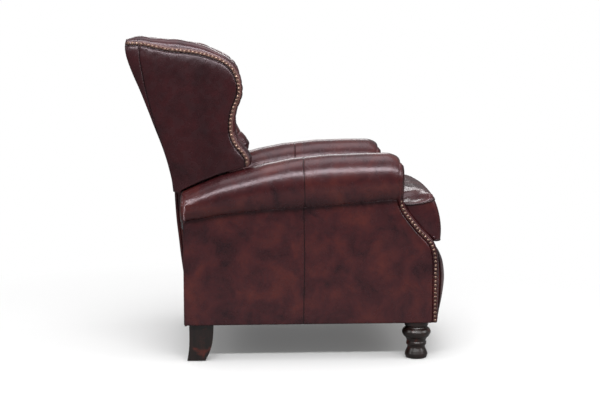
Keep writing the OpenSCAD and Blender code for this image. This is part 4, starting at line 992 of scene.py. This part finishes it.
# Back
def make_outside_back():
    edge = rim("outside_back", lambda n: n.y > 0.1 and abs(n.x) < 0.2)
    sheet = Curved(edge[:, 1:], 1)
    outline = resampled(sheet.to_plane(edge), 7 * MM, True)
    groove_in = 12 * MM

    def height(distance, flat):
        points = with_third(flat, 0)
        puff = 3.2 * rounded(distance, 60 * MM) - 3.2 * (1 - rounded(distance, 3.5 * MM)) - 1.6
        waves = 1.6 * rough_at(points, 0.19, 41) + 0.5 * rough_at(points, 0.06, 43)
        groove = 1.5 * bell(distance - groove_in, 2 * MM)
        return (puff + waves * rounded(distance, 50 * MM) - groove) * MM

    # Painted shade in the groove inside the edge.
    def painted_shade_and_pale_strip(distance, flat):
        return 0.7 * bell(distance - groove_in, 1.7 * MM)

    part = panel(sheet, outline, height, 12 * MM, mm(1.5, 4, 8, 10, 12, 14, 17), 9 * MM, painted_shade_and_pale_strip)
    cover("outside_back_leather", part, "back", "leather_outer", ["outside_back"])


def make_back_sides():
    """Leather over the edges of the back's frame, between the inner and the outside back."""
    stile, pad, outside = probe("back_stile_left"), probe("back_pad"), probe("outside_back")
    stile_x, edge_x, face_x = mm(211, 225, 227.5)
    inner_x, outer_x = mm(223.5, 283)

    def height(distance, flat):
        return (6.5 + 3.6 * rounded(distance, 16 * MM) + 0.5 * rough_at(with_third(flat, 0), 0.05, 81)) * MM

    def lower_height(distance, flat):
        return height(distance, flat) - 5 * MM

    levels = np.arange(0.285, 0.665, 9 * MM)
    fronts = [(min(stile(stile_x, z), pad(edge_x, z, -1)), z) for z in levels]
    rears = [(outside(edge_x, z) + 1 * MM, z) for z in levels]
    panels = [(Flat((face_x, 0, 0), (0, 1, 0), (1, 0, 0)), fronts + rears[::-1], height)]
    levels = np.arange(0.525, 0.735, 10 * MM)
    profile = np.array([(max(stile(stile_x, z) + 5 * MM, 0.355), z) for z in levels])
    corners = [(inner_x, levels[0]), (outer_x, levels[0]), (outer_x, levels[-1]), (inner_x, levels[-1])]
    panels.append((Curved(profile, -1), corners, lower_height))
    parts = [panel(sheet, resampled(outline, 8 * MM, True), rise, 10 * MM, mm(2, 5), 0.5 * MM)
             for sheet, outline, rise in panels]
    parts = [(verts * [way, 1, 1], faces, painted_shade_and_pale_strip) for verts, faces, painted_shade_and_pale_strip in parts for way in (RIGHT, LEFT)]
    cover("back_side_leather", joined(parts), "back", "leather_outer")


def make_back_pad():
    """The inner back, tufted in diamonds whose valleys meet at the buttons."""
    low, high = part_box("back_pad")
    pad_shares = [(0.247, 0), (0.1, 0.01), (0.027, 0.052), (0.005, 0.138), (0.003, 0.233), (0.016, 0.327),
                  (0.06, 0.43), (0.148, 0.547), (0.255, 0.673), (0.382, 0.786), (0.53, 0.885), (0.677, 0.956),
                  (0.825, 0.991), (0.938, 1), (0.985, 0.985)]
    line = np.array(mm(148, 412)) + np.array(pad_shares) * mm(372, 636)
    count = len(line) - 1
    steps_up, steps_across, fine = 24, 20, 5
    diamond_w, diamond_h, first_row, last_row = 4, 6, 8, 20
    rows, cols = steps_up * fine, steps_across * fine
    half, narrow, wide_z = high.x, 236 * MM, 710 * MM

    def spline(t):
        i = min(int(t * count), count - 1)
        u = t * count - i
        a, b, c, d = (line[min(max(k, 0), count)] for k in (i - 1, i, i + 1, i + 2))
        bend, twist = 2 * a - 5 * b + 4 * c - d, 3 * b - a - 3 * c + d
        return (2 * b + (c - a) * u + bend * u * u + twist * u ** 3) / 2

    i = np.arange(cols + 1) / fine
    u = 2 * i / steps_across - 1
    side = np.abs(u)
    across = (i - steps_across / 2) / diamond_w
    channels = 1 - np.abs(np.sin(math.pi * across)) ** 0.5
    verts, shade = [], []
    for r in range(rows + 1):
        j = r / fine
        t = j / steps_up
        place = spline(t)
        along = spline(min(t + 0.02, 1)) - spline(max(t - 0.02, 0))
        normal = np.array([-along[1], along[0]]) / np.linalg.norm(along)
        fade = min(1, j / 2, (steps_up - j) / 3)
        tufted = min(max((j - 5) / 3, 0), 1) * min(max((steps_up - 1 - j) / 3, 0), 1)
        crown = min(1, max(last_row - j, 0) / 8)
        wide = narrow + (half - narrow) * min(max((place[1] - wide_z + 0.06) / 0.06, 0), 1)
        updown = (j - first_row) / diamond_h
        valleys = np.sin(math.pi * (across + updown)) * np.sin(math.pi * (across - updown))
        diamond = np.abs(valleys) ** 0.45
        column = 1 - channels * max(0, 1 - abs(j - (first_row if j < 14 else last_row)) / 7) * 0.9
        puff = 19 * (diamond * tufted + (1 - tufted) * column)
        lift = fade * MM * (puff * (1 - side ** 6) - 17 - 30 * crown * side ** 8)
        verts.append(np.column_stack([u * wide, place[0] + normal[0] * lift, place[1] + normal[1] * lift]))
        # Painted shade in the valleys of the tufted diamonds.
        shade.append(0.6 * np.maximum(0, 1 - diamond * 3.2) * tufted * (side < 0.97))
    front = np.concatenate(verts)
    relief = (0.9 * rough_at(front, 0.045, 51) + 0.4 * rough_at(front, 0.02, 53)) * MM
    front[:, 1] -= relief * (np.abs(front[:, 0]) < half * 0.96)
    behind, inset = probe("back_pad"), 6 * MM
    rear = []
    for x, y, z in front:
        found = behind(x * 0.97, min(max(z, low.z + inset), high.z - inset), -1, y + 7 * MM) - 1 * MM
        rear.append((x * 0.995, max(found, y + 4 * MM), z))
    painted_shade_and_pale_strip = np.concatenate(shade)
    part = *doubled(front, rear, grid_faces(rows + 1, cols + 1)), np.concatenate([painted_shade_and_pale_strip, painted_shade_and_pale_strip * 0])
    cover("back_cushion", part, "back", "leather_inner", ["back_pad"])


def pad_profile():
    """A function for the depth of the inner back's front at a place, from the frame's own solid."""
    low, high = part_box("back_pad")
    pad, inset = probe("back_pad"), 8 * MM
    return lambda x, z: pad(x, min(max(z, low.z + inset), high.z - inset), 1, high.y)


# Stuffed pieces: a mesh blown up as cloth, with its sewn lines held
def inflate(thing, held, pressure, frames, cap):
    """Blows a mesh up as cloth while the held vertices stay, and caps how far each point moves."""
    rest = np.array([v.co for v in thing.data.vertices])
    thing.vertex_groups.new(name="held").add([int(i) for i in held], 1.0, "REPLACE")
    cloth = thing.modifiers.new("cloth", "CLOTH")
    for key, value in {"use_pressure": True, "uniform_pressure_force": pressure, "mass": 0.3,
                       "tension_stiffness": 12, "compression_stiffness": 8, "shear_stiffness": 6,
                       "bending_stiffness": 1.5, "air_damping": 2.0, "quality": 5,
                       "vertex_group_mass": "held", "pin_stiffness": 1.0}.items():
        setattr(cloth.settings, key, value)
    cloth.settings.effector_weights.gravity = 0
    scene = bpy.context.scene
    scene.frame_start, scene.frame_end = 1, frames
    cloth.point_cache.frame_start, cloth.point_cache.frame_end = 1, frames
    for step in range(1, frames + 1):
        scene.frame_set(step)
    shown = thing.evaluated_get(bpy.context.evaluated_depsgraph_get())
    move = np.array([v.co for v in shown.to_mesh().vertices]) - rest
    shown.to_mesh_clear()
    thing.modifiers.remove(cloth)
    scene.frame_set(1)
    move *= np.minimum(1, cap / (np.linalg.norm(move, axis=1) + 1e-12))[:, None]
    moved_points(thing, rest + move)


def rounded_loop(corners, radii, per_arc, per_edge):
    """A closed outline with round corners, the same count of points for any corners."""
    arcs = []
    for i, radius in enumerate(radii):
        p, a, b = (np.array(corners[k % len(corners)], float) for k in (i, i - 1, i + 1))
        u, v = (a - p) / np.linalg.norm(a - p), (b - p) / np.linalg.norm(b - p)
        half = math.acos(np.clip(u @ v, -1, 1)) / 2
        centre = p + (u + v) / np.linalg.norm(u + v) * (radius / math.sin(half))
        start, end = (p + way * (radius / math.tan(half)) - centre for way in (u, v))
        turn = math.atan2(start[0] * end[1] - start[1] * end[0], start @ end)
        angles = math.atan2(start[1], start[0]) + turn * np.arange(per_arc + 1) / per_arc
        arcs.append(centre + radius * np.column_stack([np.cos(angles), np.sin(angles)]))
    points = []
    for arc, ahead, count in zip(arcs, arcs[1:] + arcs[:1], per_edge):
        points += [*arc] + [arc[-1] + (ahead[0] - arc[-1]) * k / count for k in range(1, count)]
    return np.array(points)


def make_seat_cushion():
    """The T-shaped seat: boxed walls with welts, a crown and a front edge that rolls over."""
    low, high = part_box("seat_cushion")
    base_z, rear_y = low.z, high.y - 1 * MM
    edge_h, body_half, ear_half = mm(145, 244.5, 324)
    crown = high.z - base_z - edge_h - 2 * MM
    body_front, front_y, top_front = mm(-360, -493, -469)
    corner_x, corner_y, welt_radius, welt_x, clear_x = mm(250, -375, 3, 242.3, 245.4)
    facing = ordered(rim("arm_front_left", front_face), 2)
    face_y, face_z = facing[:, 1], facing[:, 2]
    half_radii = mm(26, 8, 12, 20)
    edge_steps = [56, 8, 9, 62, 9, 8, 56, 50]

    def outline(share):
        notch = np.interp(base_z + share * edge_h, face_z, face_y) - 3.5 * MM
        nose = front_y + 20 * MM * share ** 1.8
        half = [(-body_half, rear_y), (-body_half, notch), (-ear_half, notch), (-ear_half, nose)]
        corners = half + [(-x, y) for x, y in half[::-1]]
        loop = rounded_loop(corners, half_radii + half_radii[::-1], 7, edge_steps)
        ahead = np.clip((-0.44 - loop[:, 1]) / 0.03, 0, 1)
        bulge = 6 * math.sin(math.pi * share) ** 0.8 + 11 * (1 - (loop[:, 0] / ear_half) ** 2)
        loop[:, 1] -= ahead * bulge * MM
        return loop

    def edge_top(flat):
        """Height of the boxing's upper seam above the cushion's bottom."""
        ear = np.clip((np.abs(flat[:, 0]) - corner_x) / 0.02, 0, 1)
        ear *= np.clip((flat[:, 1] - top_front) / 0.075, 0, 1)
        fall = 4 + 5 * (flat[:, 0] / ear_half) ** 2
        return edge_h - (fall * np.clip((body_front - flat[:, 1]) / 0.08, 0, 1) + 20 * ear) * MM

    levels = 14
    loops = []
    for share in np.arange(levels + 1) / levels:
        loop = outline(share)
        loops.append(np.column_stack([loop, base_z + share * edge_top(loop)]))
    ring = len(loops[0])
    top_flat, top_faces, top_distance = filled(loops[-1][:, :2], 9 * MM, mm(2.5, 6, 11))
    low_flat, low_faces, _ = filled(loops[0][:, :2], 16 * MM, mm(4))
    front_fall = np.clip((top_flat[:, 1] - top_front) / 0.16, 0, 1)
    start = 0.82 * crown * rounded(top_distance, 50 * MM) * (0.92 + 0.08 * np.sqrt(front_fall))
    top = np.column_stack([top_flat, base_z + edge_top(top_flat) + start])
    verts = np.concatenate([top, with_third(low_flat, base_z)] + loops[1:-1])
    top_n = len(top)
    wall_n = top_n + len(low_flat)

    def seam_ring(row):
        """The vertices of one row of the walls; the first and last belong to the bottom and the top."""
        first = {0: top_n, levels: 0}.get(row, wall_n + (row - 1) * ring)
        return list(range(first, first + ring))

    faces = top_faces + [tuple(i + top_n for i in reversed(f)) for f in low_faces]
    for row in range(levels):
        a, b = seam_ring(row), seam_ring(row + 1)
        faces += [(a[k], a[(k + 1) % ring], b[(k + 1) % ring], b[k]) for k in range(ring)]
    # Painted shade along the boxing's top and bottom seams, under the welts.
    shade = np.zeros(len(verts))
    shade[seam_ring(levels) + seam_ring(0)] = 0.8
    thing = cover("seat_cushion_leather", (verts, faces, shade), "seat", "leather_inner",
                  ["seat_cushion"])
    held = seam_ring(levels) + list(range(top_n, wall_n)) + seam_ring(1) + seam_ring(levels - 1)
    inflate(thing, held, 5.0, 22, 6 * MM)

    co = np.array([v.co for v in thing.data.vertices])
    rub = co[:top_n]
    sag = 1.3 * rough_at(rub, 0.14, 61) + 0.15 * rough_at(rub, 0.06, 63)
    tucks = 0.7 * bell(top_distance, 26 * MM) * (np.abs(rough_at(rub, 0.045, 65)) * 2 - 0.7)
    corner = np.column_stack([np.abs(rub[:, 0]) - corner_x, rub[:, 1] - corner_y])
    angle = np.arctan2(corner[:, 1], corner[:, 0])
    gather = 2.4 * bell(np.linalg.norm(corner, axis=1) - 30 * MM, 22 * MM)
    gather *= gathers(angle * 4.5 + 0.4, 1, 0.6)
    ahead = rub[:, 1] - (front_y + 9 * MM)
    share = rub[:, 0] / ear_half
    roll = 8 * bell(ahead - 12 * MM, 18 * MM) * (1 - 0.6 * share ** 4)
    hollow = np.clip((ahead - 0.02) / 0.05, 0, 1) * np.clip((0.24 - ahead) / 0.14, 0, 1)
    co[:top_n, 2] += MM * (sag * rounded(top_distance, 30 * MM) + tucks * (top_distance > 0)
                           + (roll + gather) * rounded(top_distance, 12 * MM)
                           - (9 + 10 * share ** 2) * hollow * rounded(top_distance, 40 * MM))
    wall = co[wall_n:]
    side_rough = 0.9 * rough_at(wall, 0.1, 67) + 0.2 * rough_at(wall * [1, 1, 0.4], 0.03, 69)
    out_x = np.sign(wall[:, 0] - wall[:, 0].mean()) * (np.abs(wall[:, 0]) > 0.23)
    wall += np.column_stack([out_x, -1.0 * (wall[:, 1] < -0.44), out_x * 0]) * (side_rough * MM)[:, None]
    clear = co[:, 1] > np.interp(co[:, 2], face_z, face_y) - 3 * MM
    co[clear, 0] = np.clip(co[clear, 0], -clear_x, clear_x)
    co[:, 2] = np.maximum(co[:, 2], base_z - 0.3 * MM)
    moved_points(thing, co)

    parts = []
    for row, lift in ((levels, 0), (0, 3.2 * MM)):
        loop = smoothed(co[seam_ring(row)], 2, True) + [0, 0, lift]
        behind = loop[:, 1] > body_front
        loop[behind, 0] = np.clip(loop[behind, 0], -welt_x, welt_x)
        parts.append(sweep(loop, welt_radius, 8, True))
    piece("seat_cushion_welts", joined(parts), "seat", "leather_inner", material=WELT)


def make_footrest_pad():
    """The padded front of the footrest, fullest above its middle, with a welt round its rear edge."""
    low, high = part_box("footrest_pad")
    face_y, half, tall = high.y, 279 * MM, high.z - low.z
    foot_shares = np.array([(0.3, 0), (0.5, 0.04), (0.68, 0.12), (0.84, 0.26), (0.95, 0.4), (1, 0.53),
                            (0.97, 0.66), (0.86, 0.78), (0.67, 0.88), (0.42, 0.96), (0.16, 1)])
    knots = np.linspace(0, 1, len(foot_shares))
    thick = face_y - low.y + 4 * MM
    rows, cols = 45, 85
    u = np.linspace(-1, 1, cols)
    pull = 1 - 0.5 * np.abs(u) ** 6
    verts = []
    for s in np.linspace(0, 1, rows):
        depth, height = (np.interp(s, knots, column) for column in foot_shares.T)
        x = u * half * (1 - 0.012 * math.sin(math.pi * s))
        verts.append(np.column_stack([x, face_y - thick * depth * pull, x * 0 + low.z + height * tall]))
    front = smoothed_grid(np.concatenate(verts), rows, cols, 3)
    total = len(front)
    verts, faces = doubled(front, np.column_stack([front[:, 0], np.full(total, face_y), front[:, 2]]),
                           grid_faces(rows, cols))
    thing = cover("footrest_leather", (verts, faces, np.zeros(2 * total)), "footrest", "leather_inner",
                  ["footrest_pad"])
    grid = np.arange(total).reshape(rows, cols)
    border = np.concatenate([grid[0], grid[1:, -1], grid[-1, -2::-1], grid[-2:0:-1, 0]])
    inflate(thing, [*border, *range(total, 2 * total)], 4.0, 16, 5 * MM)
    co = np.array([v.co for v in thing.data.vertices])
    edge = np.minimum(half - np.abs(co[:, 0]), np.minimum(co[:, 2] - low.z, high.z - co[:, 2]))
    relief = 1.0 * rough_at(co, 0.11, 71) + 0.4 * rough_at(co, 0.035, 73)
    relief += 1.6 * bell(edge, 22 * MM) * (np.abs(rough_at(co, 0.02, 75)) * 2 - 0.7)
    co[:total, 1] -= (relief * rounded(np.maximum(edge, 0), 14 * MM))[:total] * MM
    moved_points(thing, co)
    welt = sweep(smoothed(co[border], 2, True) + [0, -1 * MM, 0], 2.8 * MM, 8, True)
    piece("footrest_welt", welt, "footrest", "leather_inner", material=WELT)


def make_footrest_edge():
    """Leather turned round the edges of the footrest's board."""
    low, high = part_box("footrest_board")
    out, thick, turned_in, gap = mm(3.4, 2.4, 16, 0.3)
    middle, half = (low + high) / 2, (high - low) / 2
    ways = ((-1, -1), (1, -1), (1, 1), (-1, 1))
    section = [(low.y, out), (high.y + thick, out), (high.y + thick, -turned_in), (high.y + gap, -turned_in),
               (high.y + gap, out - thick), (low.y, out - thick)]
    verts = [(middle.x + a * (half.x + o), y, middle.z + b * (half.z + o))
             for a, b in ways for y, o in section]
    n = len(section)
    faces = grid_faces(4, n, True) + [(3 * n + k, 3 * n + (k + 1) % n, (k + 1) % n, k) for k in range(n)]
    cover("footrest_edge_leather", (verts, faces), "footrest", "leather_inner", smooth=False)


def dress_nodes():
    """Materials on the nodes that stay."""
    slots = {s["node"]: s["material_slot"] for s in frame["record"]["subparts"]}
    for name, thing in frame["nodes"].items():
        thing.data.materials.clear()
        lined = name.startswith(LINED_NODES)
        thing.data.materials.append(MATERIALS["deck_fabric" if lined else slots[name]])


def make_stage():
    """A plain pale floor that turns white away from the chair, to the camera only."""
    mesh = bpy.data.meshes.new("floor")
    reach = 14
    corners = [(-reach, -reach, 0), (reach, -reach, 0), (reach, reach, 0), (-reach, reach, 0)]
    mesh.from_pydata(corners, [], [(0, 1, 2, 3)])
    material = bpy.data.materials.new("floor")
    tree = Tree(material)
    seen = tree.add("LightPath").outputs["Is Camera Ray"]
    pale = tree.mix(seen, (0.25, 0.25, 0.25, 1), (0.9, 0.9, 0.9, 1))
    base = tree.add("BsdfPrincipled", Roughness=0.7, Base_Color=pale)
    glow = tree.add("Emission", Color=(1, 1, 1, 1), Strength=1.0)
    away = tree.add("VectorMath", {"operation": "LENGTH"}, Vector=tree.add("TexCoord").outputs["Object"])
    white = tree.times(tree.spread(away.outputs["Value"], 0.12, 1, 0.5, 1.7), seen)
    tree.add("OutputMaterial", Surface=tree.mix_shaders(white, base, glow))
    mesh.materials.append(material)
    new_object("floor", mesh)


def make_light():
    """A world that is white to the camera and a soft gradient to the object, and five soft lamps."""
    world = bpy.data.worlds.new("world")
    bpy.context.scene.world = world
    tree = Tree(world)
    up = tree.add("SeparateXYZ", Vector=tree.add("TexCoord").outputs["Generated"]).outputs["Z"]
    lit = tree.add("Background", Color=(1, 1, 1, 1), Strength=tree.spread(up, 0.1, 0.7, 0.0, 0.9))
    white = tree.add("Background", Color=(1, 1, 1, 1), Strength=1.0)
    seen = tree.add("LightPath").outputs["Is Camera Ray"]
    tree.add("OutputWorld", Surface=tree.mix_shaders(seen, lit, white))
    aim = Vector((0, 0, 0.5))
    for name, place, size, power in [
            ("side", (-2.75, -0.1, 2.6), (3.6, 0.3), 98), ("top", (-0.2, -0.1, 3.2), (2.4, 1.4), 24),
            ("front", (-1.5, -3.3, 2.0), (1.6, 1.0), 26), ("rear", (-1.2, 3.2, 2.0), (1.6, 1.0), 16),
            ("far", (2.9, 0.2, 2.4), (2.4, 0.8), 26)]:
        data = bpy.data.lights.new(name, "AREA")
        data.shape = "RECTANGLE"
        data.size, data.size_y = size
        data.energy = power
        lamp = new_object(name, data)
        lamp.location = place
        lamp.rotation_euler = (aim - Vector(place)).to_track_quat("-Z", "Y").to_euler()


make_camera()
bpy.context.scene.view_settings.view_transform = "Standard"
make_light()
make_stage()
dress_nodes()
pad_front = pad_profile()
for side in (RIGHT, LEFT):
    make_side_cover(side)
    make_arm_roll(side)
    make_arm_front(side)
    make_inner_arm_pad(side)
    make_wing_cover(side)
    make_wing_pad(side, pad_front)
    wing_normal = wing_plane(side)[0].normal
    make_nails("wing_nails_" + SIDE_NAMES[side], "back", lambda centre, n=wing_normal: n, 11 + side)
make_nails("arm_nails", "base", lambda centre: (math.copysign(1, centre[0]), 0, 0), 17)
make_rear_covers()
make_outside_back()
make_back_sides()
make_back_pad()
make_buttons()
make_seat_cushion()
make_footrest_pad()
make_footrest_edge()
